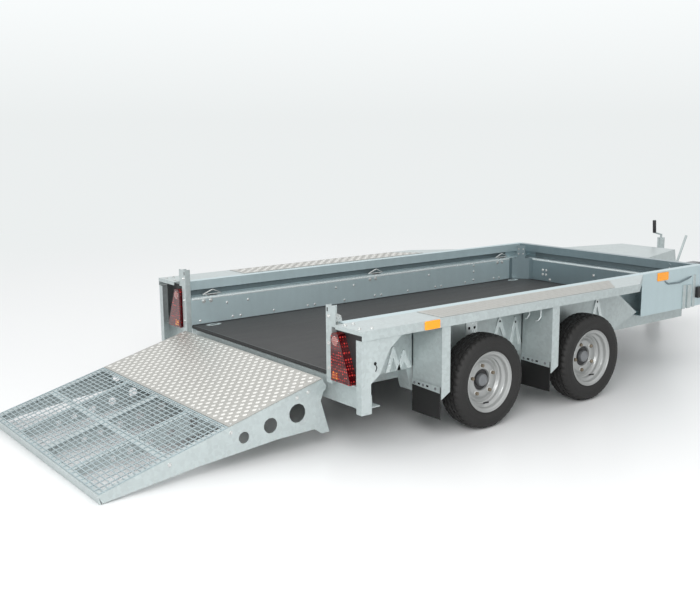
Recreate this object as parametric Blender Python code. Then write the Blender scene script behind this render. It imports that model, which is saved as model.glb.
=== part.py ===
"""Plant trailer: a galvanised twin-axle flat trailer with side walls and a full-width rear ramp, lowered.

Metres, +Z up, +Y the way the trailer is towed, +X its right side. The working frame starts on the floor
under the middle of the bed's rear edge; the parent empty moves it so that the whole stands centred.
"""
from math import asin, atan2, cos, hypot, pi, radians, sin, sqrt

import bmesh
import bpy
from mathutils import Matrix, Vector

# Bed
BED_LENGTH = 3.05
BED_WIDTH = 1.50
FLOOR_TOP = 0.396
FLOOR_THICK = 0.018
WALL_TOP = 0.670
SHEET = 0.003
FIT = 0.0003
LEDGE_Z = 0.570
LEDGE_WIDTH = 0.086
RAIL_HEIGHT = 0.055
RAIL_WIDTH = 0.052
SEAT_FLANGE = 0.050
OUTER_LIP = 0.070
GUSSET = 0.100
GUSSET_FOOT = 0.030
GUSSET_TOP_HALF = 0.034

# Side platforms over the wheels
PLATFORM_WIDTH = 0.2167
PLATFORM_REAR = -0.060
PLATFORM_FRONT = 2.120
PLATFORM_TAPER = 0.330
FASCIA_DEPTH = 0.048
REAR_LIP_DEPTH = 0.022
INLAY_REAR = 0.470
INLAY_FRONT = 2.080
INLAY_THICK = 0.0025
SIDE_PLATE_BOTTOM = 0.388

# Chassis
RAIL_HALF_TRACK = 0.800
CHASSIS_RAIL_WIDTH = 0.060
CHASSIS_RAIL_DEPTH = 0.080
CROSS_DEPTH = 0.050
CROSS_WIDTH = 0.045
CROSS_PLACES = (0.45, 0.86, 1.28, 1.72, 2.20, 2.66, 3.06)
REAR_BEAM_BOTTOM = 0.250
REAR_BEAM_SHOULDER = 0.345
REAR_BEAM_DEPTH = 0.055
REAR_BEAM_SHEET = 0.004

# Wheels and axles
WHEEL_RADIUS = 0.262
TYRE_WIDTH = 0.157
TYRE_INSET = 0.011
AXLE_PLACES = {"rear": 0.846, "front": 1.708}
RIM_RADIUS = 0.170
BEAD_RADIUS = 0.1525
RIM_HALF_WIDTH = 0.066
RIM_SHEET = 0.004
DISC_INSET = 0.092
WELL_DEPTH = 0.018
WHEEL_BORE = 0.056
CAP_EYE = 0.005
HUB_CAP_RADIUS = 0.034
DRUM_RADIUS = 0.105
DRUM_DEPTH = 0.075
AXLE_BEAM = 0.050
SPINDLE_RADIUS = 0.020
SPINDLE_FIT = 0.0006
LEAF_HALF_LENGTH = 0.350
LEAF_WIDTH = 0.045
LEAF_STACK = 0.026
LEAF_CAMBER = 0.030
LEAF_END = 0.012
SPRING_TRACK = 0.856
TYRE_STEPS = 28
RIM_STEPS = 18
HOLE_STEPS = 12

# Partitions behind the wheels, and their flaps
PARTITION_PLACES = {"rear": 0.470, "middle": 1.325}
PARTITION_FLANGE = 0.060
PARTITION_BOTTOM = 0.270
PARTITION_TIP = 0.234
PARTITION_INSET = 0.008
PARTITION_STEP = 0.0165
FLAP_BOTTOM = 0.126
FLAP_TOP = 0.300
FLAP_THICK = 0.005

# Rear posts and lamps
POST_INNER_FACE = 0.752
POST_WIDTH = 0.046
POST_DEPTH = 0.034
POST_TOP = 0.755
POST_BOTTOM = 0.352
UPRIGHT_WIDTH = 0.036
OUTER_POST_BOTTOM = 0.250
OUTER_POST_FLANGE = 0.040
LAMP_INNER = 0.812
LAMP_OUTER = 0.968
LAMP_APEX = 0.860
LAMP_BOTTOM = 0.378
LAMP_TOP = 0.622
LAMP_DEPTH = 0.048

# Ramp
RAMP_AXIS_Y = -0.055
RAMP_AXIS_Z = 0.325
RAMP_LENGTH = 1.262
RAMP_HEAD = 0.012
RAMP_RISE = 0.045
RAMP_HALF_WIDTH = 0.742
RAMP_TOE_TOP = 0.047
TOE_INSET = 0.006
RAMP_DECK = 0.0037
RAMP_PLATE_END = 0.560
RAMP_EDGE_FLANGE = 0.040
RAMP_WEB = 0.004
MESH_CELLS = (12, 6)
MESH_BAR = 0.006
HINGE_ROD = 0.010
HINGE_FIT = 0.0006
KNUCKLE_RADIUS = 0.019
LUG_PLACES = (-0.610, -0.075, 0.075, 0.610)
LUG_THICK = 0.010
LUG_DROP = 0.022
LUG_FOOT = 0.062
COIL_RADIUS = 0.024
COIL_WIRE = 0.0035
COIL_TURNS = 6
COIL_START = 0.085
COIL_END = 0.265

# Drawbar, bucket rest, coupling and jockey wheel
DRAWBAR_DEPTH = 0.080
DRAWBAR_WIDTH = 0.060
DRAWBAR_START = 2.30
DRAWBAR_HALF = 0.560
DRAWBAR_TIP_HALF = 0.062
DRAWBAR_END = 4.060
TIP_HALF = 0.090
RISER_HALF = 0.060
REST_FRONT = 3.725
REST_REAR_HALF = 0.400
REST_FRONT_HALF = 0.250
REST_SPREAD = 0.030
NOSE_Y = 4.500
COUPLING_Z = 0.430
SHAFT_RADIUS = 0.030
SHAFT_HEAD = 0.046
JOCKEY_X = -0.200
JOCKEY_Y = 4.1945
JOCKEY_TUBE = 0.030
JOCKEY_TUBE_BOTTOM = 0.318
JOCKEY_TUBE_TOP = 0.690
JOCKEY_INNER = 0.0255
JOCKEY_TRAIL = 0.055
JOCKEY_WHEEL_RADIUS = 0.090
JOCKEY_WHEEL_WIDTH = 0.052

RAMP_SLOPE = (asin((RAMP_AXIS_Z - RAMP_TOE_TOP) / hypot(RAMP_LENGTH, RAMP_RISE))
              + atan2(RAMP_RISE, RAMP_LENGTH))
RAMP_SEAT = RAMP_RISE - RAMP_DECK - FIT
RAMP_TOE_Y = (RAMP_AXIS_Y - (RAMP_LENGTH - TOE_INSET + RAMP_WEB / 2) * cos(RAMP_SLOPE)
              - RAMP_SEAT * sin(RAMP_SLOPE))
CENTRE_Y = (NOSE_Y + RAMP_TOE_Y) / 2
HALF_BED = BED_WIDTH / 2
PANEL = HALF_BED + SHEET / 2
GROOVE_BACK = HALF_BED + LEDGE_WIDTH + SHEET / 2
RAIL_INNER = GROOVE_BACK - 0.030
RAIL_OUTER = RAIL_INNER + RAIL_WIDTH
WALL_OUTER = RAIL_OUTER + SHEET / 2
HALF_WIDTH = WALL_OUTER + FIT + PLATFORM_WIDTH
PARTITION_OUTER = HALF_WIDTH - PARTITION_INSET
PARTITION_INNER = WALL_OUTER - PARTITION_STEP
SEAT_Z = FLOOR_TOP - FLOOR_THICK - FIT - SHEET / 2
TOP_Z = WALL_TOP - SHEET / 2
FRONT_OUTER = BED_LENGTH + (WALL_OUTER - HALF_BED)
CHASSIS_TOP = SEAT_Z - SHEET / 2 - FIT
DRAWBAR_TOP = CHASSIS_TOP - CROSS_DEPTH - FIT
REST_REAR = FRONT_OUTER + FIT
WHEEL_X = HALF_WIDTH - TYRE_INSET - TYRE_WIDTH / 2

# Materials: name, colour, metallic, roughness
FINISHES = {
    "galvanised": ((0.56, 0.59, 0.61), 0.85, 0.42),
    "aluminium": ((0.80, 0.79, 0.77), 0.9, 0.35),
    "phenolic": ((0.075, 0.075, 0.08), 0.0, 0.6),
    "rubber": ((0.02, 0.02, 0.02), 0.0, 0.8),
    "tyre": ((0.025, 0.025, 0.026), 0.0, 0.85),
    "wheel_steel": ((0.72, 0.72, 0.72), 0.6, 0.35),
    "lamp": ((0.55, 0.03, 0.02), 0.0, 0.2),
    "cast_steel": ((0.25, 0.26, 0.27), 0.7, 0.5),
    "black_plastic": ((0.03, 0.03, 0.03), 0.0, 0.5),
}


def finish(name):
    """Return the named Principled material, made once."""
    known = bpy.data.materials.get(name)
    if known:
        return known
    colour, metallic, roughness = FINISHES[name]
    material = bpy.data.materials.new(name)
    material.use_nodes = True
    shader = material.node_tree.nodes["Principled BSDF"]
    shader.inputs["Base Color"].default_value = (*colour, 1)
    shader.inputs["Metallic"].default_value = metallic
    shader.inputs["Roughness"].default_value = roughness
    return material


def empty(name, place, parent=None, tilt=0.0):
    """Add an empty that carries a moving body, with its own place and tilt about X."""
    carrier = bpy.data.objects.new(name, None)
    carrier.location = place
    carrier.rotation_euler = (tilt, 0, 0)
    carrier.parent = parent
    bpy.context.collection.objects.link(carrier)
    return carrier


def to_object(shape, name="piece"):
    """Turn a bmesh into an object of the scene."""
    bmesh.ops.recalc_face_normals(shape, faces=shape.faces)
    mesh = bpy.data.meshes.new(name)
    shape.to_mesh(mesh)
    shape.free()
    thing = bpy.data.objects.new(name, mesh)
    bpy.context.collection.objects.link(thing)
    return thing


def prism(outline, axis, low, high, holes=()):
    """Extrude a flat outline, with holes, along axis X, Y or Z from low to high."""
    order = {"X": (2, 0, 1), "Y": (0, 2, 1), "Z": (0, 1, 2)}[axis]
    shape = bmesh.new()

    def corner(a, b, c):
        values = (a, b, c)
        return shape.verts.new([values[i] for i in order])

    edges = []
    for loop in (outline, *holes):
        ring = [corner(a, b, low) for a, b in loop]
        edges += [shape.edges.new((ring[i - 1], ring[i])) for i in range(len(ring))]
    if holes:
        bmesh.ops.triangle_fill(shape, use_beauty=True, use_dissolve=False, edges=edges)
    else:
        bmesh.ops.contextual_create(shape, geom=edges)
    raised = bmesh.ops.extrude_face_region(shape, geom=list(shape.faces), use_keep_orig=True)
    shift = Vector([(0, 0, high - low)[i] for i in order])
    bmesh.ops.translate(shape, vec=shift, verts=[v for v in raised["geom"] if isinstance(v, bmesh.types.BMVert)])
    return to_object(shape)


def box(x, y, z):
    """Add a block between pairs of limits."""
    (x0, x1), (y0, y1), (z0, z1) = x, y, z
    return prism([(x0, y0), (x1, y0), (x1, y1), (x0, y1)], "Z", z0, z1)


def strip(path, thickness):
    """Give the closed outline of a folded sheet whose middle line is path."""
    points = [Vector(p) for p in path]
    sides = ([], [])
    for i, point in enumerate(points):
        before = (point - points[i - 1]).normalized() if i else None
        after = (points[i + 1] - point).normalized() if i + 1 < len(points) else None
        one, two = before or after, after or before
        normal = Vector((-one.y - two.y, one.x + two.x)).normalized()
        reach = thickness / 2 / max(0.3, normal.dot(Vector((-one.y, one.x))))
        sides[0].append(tuple(point + normal * reach))
        sides[1].append(tuple(point - normal * reach))
    return sides[0] + sides[1][::-1]


def folded(path, axis, low, high, thickness=SHEET):
    """Extrude a folded sheet section along an axis."""
    return prism(strip(path, thickness), axis, low, high)


def ring(radius, a, b, steps=20, turn=0.0):
    """Give a circle's points in a plane."""
    angles = [turn + 2 * pi * i / steps for i in range(steps)]
    return [(a + radius * cos(t), b + radius * sin(t)) for t in angles]


def turned(profile, steps, place=(0, 0, 0), axis="X"):
    """Revolve a closed profile of (radius, along) points about an axis through place."""
    shape = bmesh.new()
    frames = {"X": ((0, 0, -1), (0, 1, 0), (1, 0, 0)), "Z": ((1, 0, 0), (0, 1, 0), (0, 0, 1)),
              "Y": ((1, 0, 0), (0, 0, 1), (0, 1, 0))}[axis]
    right, up, along = (Vector(v) for v in frames)
    rows = []
    for i in range(steps):
        spoke = right * cos(2 * pi * i / steps) + up * sin(2 * pi * i / steps)
        rows.append([shape.verts.new(Vector(place) + spoke * r + along * a) for r, a in profile])
    for i, row in enumerate(rows):
        after = rows[(i + 1) % steps]
        for j in range(len(profile)):
            k = (j + 1) % len(profile)
            shape.faces.new((row[j], row[k], after[k], after[j]))
    return to_object(shape)


def rod(start, end, radius, steps=16):
    """Add a round bar between two points."""
    start, end = Vector(start), Vector(end)
    shape = bmesh.new()
    bmesh.ops.create_cone(shape, cap_ends=True, segments=steps, radius1=radius, radius2=radius,
                          depth=(end - start).length)
    turn = (end - start).to_track_quat("Z", "Y").to_matrix().to_4x4()
    bmesh.ops.transform(shape, matrix=Matrix.Translation((start + end) / 2) @ turn, verts=shape.verts)
    return to_object(shape)


def bar(start, end, width, depth):
    """Add a straight square-ended beam whose top edges are level, from start to end."""
    start, end = Vector(start), Vector(end)
    side = Vector((end.y - start.y, start.x - end.x, 0)).normalized() * width / 2
    outline = [start - side, start + side, end + side, end - side]
    return prism([(p.x, p.y) for p in outline], "Z", start.z - depth, start.z)


def combine(base, others, operation):
    """Apply one Boolean of base with other objects and delete those."""
    group = bpy.data.collections.new("operands")
    for other in others:
        group.objects.link(other)
    modifier = base.modifiers.new("combine", "BOOLEAN")
    modifier.operation = operation
    modifier.operand_type = "COLLECTION"
    modifier.collection = group
    modifier.solver = "EXACT"
    graph = bpy.context.evaluated_depsgraph_get()
    mesh = bpy.data.meshes.new_from_object(base.evaluated_get(graph))
    base.modifiers.clear()
    base.data = mesh
    for other in others:
        bpy.data.objects.remove(other)
    bpy.data.collections.remove(group)
    return base


def fused(*pieces):
    """Weld pieces into one solid."""
    return combine(pieces[0], pieces[1:], "UNION")


def mirrored(piece):
    """Return a copy of a piece on the other side of the middle plane."""
    shape = bmesh.new()
    shape.from_mesh(piece.data)
    bmesh.ops.scale(shape, vec=(-1, 1, 1), verts=shape.verts)
    bmesh.ops.reverse_faces(shape, faces=shape.faces)
    return to_object(shape)


def node(name, piece, material, carrier):
    """Name a finished sub-part, give it its material and hang it on its carrier."""
    piece.name = name
    piece.data.name = name
    piece.data.materials.clear()
    piece.data.materials.append(finish(material))
    piece.data.shade_smooth()
    piece.data.set_sharp_from_angle(angle=radians(30))
    piece.parent = carrier
    return piece


def pair(name, piece, material, carrier):
    """Add a right-hand sub-part and its left-hand mirror image."""
    node(f"{name}_left", mirrored(piece), material, carrier)
    node(f"{name}_right", piece, material, carrier)


def wall_section(face):
    """Give the middle line of the wall's folded section, from its seat flange up over the top rail.

    face is the place of the lower panel; the section steps away from the bed above the ledge.
    """
    back = face + LEDGE_WIDTH
    inner = back - (GROOVE_BACK - RAIL_INNER)
    outer = inner + RAIL_WIDTH
    under = TOP_Z - RAIL_HEIGHT
    return [(face - SEAT_FLANGE, SEAT_Z), (face, SEAT_Z), (face, LEDGE_Z), (back, LEDGE_Z), (back, under),
            (inner, under), (inner, TOP_Z), (outer, TOP_Z), (outer, TOP_Z - OUTER_LIP)]


def build_bed(carrier):
    """Floor board, side walls, headboard and the gussets in the front corners."""
    edge = HALF_BED - FIT
    floor = box((-edge, edge), (0, BED_LENGTH - FIT), (FLOOR_TOP - FLOOR_THICK, FLOOR_TOP))
    node("floor_board", floor, "phenolic", carrier)

    wall = folded(wall_section(PANEL), "Y", 0, FRONT_OUTER)
    front_plate = box((RAIL_OUTER - SHEET / 2, WALL_OUTER), (PLATFORM_FRONT + PLATFORM_TAPER + FIT, FRONT_OUTER),
                      (SIDE_PLATE_BOTTOM, TOP_Z - OUTER_LIP / 2))
    foot = box((PANEL, WALL_OUTER), (PLATFORM_FRONT + PLATFORM_TAPER + 0.02, FRONT_OUTER),
               (SIDE_PLATE_BOTTOM, SIDE_PLATE_BOTTOM + SHEET))
    pair("side_wall", fused(wall, front_plate, foot), "galvanised", carrier)

    section = wall_section(BED_LENGTH + SHEET / 2)
    back, under = section[4]
    face = section[1][0]
    groove = [(back, LEDGE_Z + SHEET / 2 + FIT), (back, under - SHEET / 2 - FIT)]
    panel = [(face, SEAT_Z + SHEET / 2 + FIT), *section[2:]]
    seat = [*section[:2], (face, SEAT_Z + SEAT_FLANGE)]
    # Columns: stretch of the section, half length along X
    spans = ((panel, HALF_BED - FIT), (seat, HALF_BED - SEAT_FLANGE - SHEET),
             (groove, GROOVE_BACK - SHEET / 2 - FIT), (section[4:], RAIL_INNER - SHEET / 2 - FIT))
    pieces = [folded(path, "X", -half, half) for path, half in spans]
    node("headboard", fused(*pieces), "galvanised", carrier)

    low, high = FLOOR_TOP + FIT, LEDGE_Z - SHEET / 2 - FIT
    across, ahead = HALF_BED - FIT - SHEET / 2, BED_LENGTH - FIT - SHEET / 2
    path = [(across, ahead - GUSSET - GUSSET_FOOT), (across, ahead - GUSSET), (across - GUSSET, ahead),
            (across - GUSSET - GUSSET_FOOT, ahead)]
    middle = Vector((across - GUSSET / 2, ahead - GUSSET / 2))
    lean = Vector((GUSSET_TOP_HALF, -GUSSET_TOP_HALF)) / sqrt(2)
    neck = folded([middle - lean, middle + lean], "Z", high - SHEET, WALL_TOP)
    pair("corner_gusset", fused(folded(path, "Z", low, high), neck), "galvanised", carrier)


def platform_outline(inset=0.0):
    """Plan of a side platform, from its rear inner corner round the outer edge to the front."""
    inner = WALL_OUTER + FIT + inset
    outer = HALF_WIDTH - inset
    return [(inner, PLATFORM_REAR + inset), (outer, PLATFORM_REAR + inset), (outer, PLATFORM_FRONT),
            (inner, PLATFORM_FRONT + PLATFORM_TAPER - inset)]


def build_platforms(carrier):
    """Flat mudguard tops with their folded fascia, and the treadplate laid on them."""
    top = prism(platform_outline(), "Z", WALL_TOP - SHEET, WALL_TOP)
    edge = platform_outline(SHEET / 2)
    fascia = folded(edge[1:], "Z", WALL_TOP - FASCIA_DEPTH, WALL_TOP - SHEET / 2)
    lip = folded(edge[:2], "Z", WALL_TOP - REAR_LIP_DEPTH, WALL_TOP - SHEET / 2)
    pair("side_platform", fused(top, fascia, lip), "galvanised", carrier)

    inner, outer = WALL_OUTER + 0.012, HALF_WIDTH - 0.014
    slant = outer - inner
    inlay = prism([(inner, INLAY_REAR), (outer, INLAY_REAR), (outer, INLAY_FRONT - slant), (inner, INLAY_FRONT)],
                  "Z", WALL_TOP + FIT, WALL_TOP + FIT + INLAY_THICK)
    pair("tread_inlay", inlay, "aluminium", carrier)


def build_chassis(carrier):
    """Side rails, cross members and spring hangers, welded together."""
    rail_low = CHASSIS_TOP - CHASSIS_RAIL_DEPTH
    pieces = []
    for side in (-1, 1):
        middle = side * (RAIL_HALF_TRACK - 0.08)
        limits = (middle - CHASSIS_RAIL_WIDTH / 2, middle + CHASSIS_RAIL_WIDTH / 2)
        pieces.append(box(limits, (REAR_BEAM_DEPTH + 0.012, BED_LENGTH + 0.04), (rail_low, CHASSIS_TOP)))
    for place in CROSS_PLACES:
        pieces.append(box((-RAIL_HALF_TRACK + 0.09, RAIL_HALF_TRACK - 0.09), (place, place + CROSS_WIDTH),
                          (CHASSIS_TOP - CROSS_DEPTH, CHASSIS_TOP - 0.0005)))
    middle_y = (AXLE_PLACES["front"] + AXLE_PLACES["rear"]) / 2
    # Columns: place along the rail, half length at the top, half length at the foot, foot height
    hangers = ((AXLE_PLACES["rear"] - LEAF_HALF_LENGTH, 0.070, 0.028, 0.236),
               (middle_y, 0.125, 0.100, 0.222),
               (AXLE_PLACES["front"] + LEAF_HALF_LENGTH, 0.110, 0.045, 0.236))
    for place, top, foot, low in hangers:
        outline = [(place - top, CHASSIS_TOP - 0.001), (place - foot, low), (place + foot, low),
                   (place + top, CHASSIS_TOP - 0.001)]
        for side in (-1, 1):
            near, far = side * (SPRING_TRACK - LEAF_WIDTH / 2 - FIT), side * (RAIL_HALF_TRACK - 0.06)
            pieces.append(prism(outline, "X", min(near, far), max(near, far)))
    node("chassis_frame", fused(*pieces), "galvanised", carrier)


def build_rear_beam(carrier):
    """Folded rear cross member with the hinge lugs and the rod that the ramp turns on."""
    reach = HALF_WIDTH - 0.006
    low = REAR_BEAM_BOTTOM
    web = [(-reach, REAR_BEAM_SHOULDER), (-reach, low)]
    for side in (-1, 1):
        notch = [(side * 0.66, low), (side * 0.60, low + 0.024), (side * 0.16, low + 0.024), (side * 0.10, low)]
        web += notch if side < 0 else notch[::-1]
    web += [(reach, low), (reach, REAR_BEAM_SHOULDER), (POST_INNER_FACE - 0.003, REAR_BEAM_SHOULDER),
            (POST_INNER_FACE - 0.003, CHASSIS_TOP), (0.003 - POST_INNER_FACE, CHASSIS_TOP),
            (0.003 - POST_INNER_FACE, REAR_BEAM_SHOULDER)]
    inner = POST_INNER_FACE - 0.003
    pieces = [prism(web, "Y", 0.0, REAR_BEAM_SHEET),
              box((-inner, inner), (0.001, REAR_BEAM_DEPTH), (CHASSIS_TOP - REAR_BEAM_SHEET, CHASSIS_TOP)),
              box((-reach, reach), (0.001, REAR_BEAM_DEPTH), (low + 0.030, low + 0.030 + REAR_BEAM_SHEET))]
    for place in LUG_PLACES:
        eye = ring(KNUCKLE_RADIUS, RAMP_AXIS_Y, RAMP_AXIS_Z, 16)
        outline = [(0.002, RAMP_AXIS_Z - LUG_FOOT), (0.002, RAMP_AXIS_Z - LUG_DROP),
                   (RAMP_AXIS_Y + KNUCKLE_RADIUS + LUG_THICK, RAMP_AXIS_Z - LUG_DROP)] + eye[:12]
        pieces.append(prism(outline, "X", place - LUG_THICK / 2, place + LUG_THICK / 2))
    end = RAMP_HALF_WIDTH - 0.0005
    pieces.append(rod((-end, RAMP_AXIS_Y, RAMP_AXIS_Z), (end, RAMP_AXIS_Y, RAMP_AXIS_Z), HINGE_ROD))
    node("rear_cross_member", fused(*pieces), "galvanised", carrier)


def build_rear_frames(carrier):
    """Ramp posts, outer posts and the recess that holds each lamp."""
    x0, x1 = POST_INNER_FACE, POST_INNER_FACE + POST_WIDTH
    post = folded([(x0 + SHEET / 2, -0.0005), (x0 + SHEET / 2, -POST_DEPTH), (x1, -POST_DEPTH), (x1, -0.0005)],
                  "Z", POST_BOTTOM, POST_TOP)
    upright = box((x1 - 0.001, x1 + UPRIGHT_WIDTH), (-POST_DEPTH - SHEET / 2, -POST_DEPTH + SHEET / 2),
                  (WALL_TOP - REAR_LIP_DEPTH - FIT, POST_TOP))
    corner = PARTITION_OUTER
    rear = PLATFORM_REAR + 0.002
    outer = folded([(corner - OUTER_POST_FLANGE, rear), (corner, rear), (corner, -0.0005)], "Z",
                   OUTER_POST_BOTTOM, WALL_TOP - FASCIA_DEPTH - FIT)
    back = box((x0, corner - SHEET), (-0.004, -0.0008), (REAR_BEAM_SHOULDER + FIT, WALL_TOP - SHEET - FIT))
    side = prism([(-0.002, 0.40), (0.055, 0.44), (0.120, 0.56), (0.200, 0.6215), (-0.002, 0.6215)], "X",
                 corner - SHEET / 2, corner + SHEET / 2)
    shelf = box((x1 - 0.002, corner), (-POST_DEPTH, -0.001), (LAMP_BOTTOM - 0.006, LAMP_BOTTOM - FIT))
    pair("rear_frame", fused(post, upright, outer, back, side, shelf), "galvanised", carrier)

    outline = [(LAMP_INNER, LAMP_BOTTOM), (LAMP_OUTER, LAMP_BOTTOM), (LAMP_OUTER, LAMP_BOTTOM + 0.02),
               (LAMP_APEX + 0.012, LAMP_TOP), (LAMP_INNER + 0.010, LAMP_TOP), (LAMP_INNER, LAMP_TOP - 0.02)]
    lamp = prism(outline, "Y", -0.0043 - LAMP_DEPTH, -0.0043)
    pair("rear_lamp", lamp, "lamp", carrier)


def build_partitions(carrier):
    """Plates across the wheel space behind each wheel, with their rubber flaps."""
    for name, place in PARTITION_PLACES.items():
        step = TOP_Z - OUTER_LIP - FIT
        low = PARTITION_BOTTOM
        high = WALL_TOP - SHEET - FIT
        face = [(PARTITION_INNER, low), (PARTITION_OUTER - SHEET, low), (PARTITION_OUTER - SHEET, high),
                (WALL_OUTER + FIT, high), (WALL_OUTER + FIT, step), (PARTITION_INNER, step)]
        plate = prism(face, "Y", place, place + SHEET)
        flange = prism([(place, PARTITION_TIP), (place + PARTITION_FLANGE, PARTITION_TIP + 0.034),
                        (place + PARTITION_FLANGE, WALL_TOP - FASCIA_DEPTH - FIT),
                        (place, WALL_TOP - FASCIA_DEPTH - FIT)], "X", PARTITION_OUTER - 2 * SHEET, PARTITION_OUTER)
        pair(f"guard_partition_{name}", fused(plate, flange), "galvanised", carrier)
        flap = box((PARTITION_INNER, PARTITION_OUTER - 2 * SHEET), (place - FIT - FLAP_THICK, place - FIT),
                   (FLAP_BOTTOM, FLAP_TOP))
        pair(f"mudflap_{name}", flap, "rubber", carrier)


def leaf_spring(place):
    """One stack of leaves, bowed down to its seat under the axle, ending at the hangers."""
    steps = 8
    seat_z = WHEEL_RADIUS - AXLE_BEAM / 2 - LEAF_STACK / 2 + 0.002
    reach = LEAF_HALF_LENGTH - LEAF_END
    shares = [-1 + 2 * i / steps for i in range(steps + 1)]
    path = [(place + share * reach, seat_z + LEAF_CAMBER * share * share) for share in shares]
    return folded(path, "X", SPRING_TRACK - LEAF_WIDTH / 2, SPRING_TRACK + LEAF_WIDTH / 2, LEAF_STACK)


def build_axles(carrier):
    """Axle beams with their spindles and leaf springs."""
    for name, place in AXLE_PLACES.items():
        half = AXLE_BEAM / 2
        beam = box((-SPRING_TRACK - 0.03, SPRING_TRACK + 0.03), (place - half, place + half),
                   (WHEEL_RADIUS - half, WHEEL_RADIUS + half))
        end = WHEEL_X + TYRE_WIDTH / 2 - DISC_INSET - 0.004
        spindle = rod((-end, place, WHEEL_RADIUS), (end, place, WHEEL_RADIUS), SPINDLE_RADIUS, 16)
        spring = leaf_spring(place)
        node(f"axle_{name}", fused(beam, spindle, spring, mirrored(spring)), "galvanised", carrier)


def rim_profile():
    """Closed half section of a wheel with its drum and hub, as (radius, outward) about the tyre's middle plane."""
    half, sheet = RIM_HALF_WIDTH, RIM_SHEET
    disc = TYRE_WIDTH / 2 - DISC_INSET
    drum = disc - DRUM_DEPTH
    bore = SPINDLE_RADIUS + SPINDLE_FIT
    seat, well = BEAD_RADIUS, BEAD_RADIUS - WELL_DEPTH
    barrel = [(RIM_RADIUS, half), (seat, half - 0.010), (seat, half - 0.030), (well, half - 0.044),
              (well, -0.010), (seat, -0.026), (seat, 0.010 - half), (RIM_RADIUS, -half)]
    back = [(seat - sheet, -half), (seat - sheet, -0.026), (well - sheet, disc - sheet), (DRUM_RADIUS, disc - sheet),
            (DRUM_RADIUS, drum), (bore, drum), (bore, disc), (CAP_EYE, disc)]
    face = [(CAP_EYE, disc + 0.028), (HUB_CAP_RADIUS, disc + 0.018), (HUB_CAP_RADIUS, disc + sheet),
            (WHEEL_BORE, disc + sheet), (WHEEL_BORE, disc + 0.014), (well - 0.014, disc + 0.008),
            (well - sheet, disc + 0.024), (well - sheet, half - 0.042), (seat - sheet, half - 0.028),
            (seat - sheet, half)]
    return barrel + back + face


def tyre_profile():
    """Closed half section of a tyre, as (radius, outward)."""
    half = TYRE_WIDTH / 2
    bead = BEAD_RADIUS / cos(pi / TYRE_STEPS) + FIT
    # Columns: radius, share of the half width
    side = ((bead, 0.66), (bead + 0.030, 0.80), (0.212, 1.0), (0.236, 0.95), (0.253, 0.80), (0.260, 0.60))
    outer = [(radius, share * half) for radius, share in side]
    return outer + [(WHEEL_RADIUS, 0.0)] + [(radius, -offset) for radius, offset in outer[::-1]]


def build_wheels(trailer):
    """Four wheels, each on its own axis."""
    for name, place in AXLE_PLACES.items():
        for side, sign in (("left", -1), ("right", 1)):
            carrier = empty(f"wheel_axis_{name}_{side}", (sign * WHEEL_X, place, WHEEL_RADIUS), trailer)
            rim = turned([(r, sign * a) for r, a in rim_profile()], RIM_STEPS)
            tyre = turned([(r, sign * a) for r, a in tyre_profile()], TYRE_STEPS)
            node(f"wheel_rim_{name}_{side}", rim, "wheel_steel", carrier)
            node(f"wheel_tyre_{name}_{side}", tyre, "tyre", carrier)


def beam_outline(toe_cut=0.0):
    """Side view of a ramp beam: (towards the toe as -Y, up) about the hinge axis."""
    top = RAMP_SEAT
    # Columns: distance from the hinge axis along the ramp, height
    lower = ((1.245 - toe_cut, -0.004), (0.763, -0.068), (0.318, -0.144), (0.105, -0.194), (0.070, -0.236),
             (0.024, -0.246), (0.030, -0.065))
    eye = ring(KNUCKLE_RADIUS + 0.004, 0, 0, 16, -pi / 2 - pi / 8)
    outline = [(RAMP_HEAD, top), (TOE_INSET - RAMP_LENGTH + toe_cut, top)]
    outline += [(-along, height) for along, height in lower]
    return outline + eye[1:8]


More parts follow.
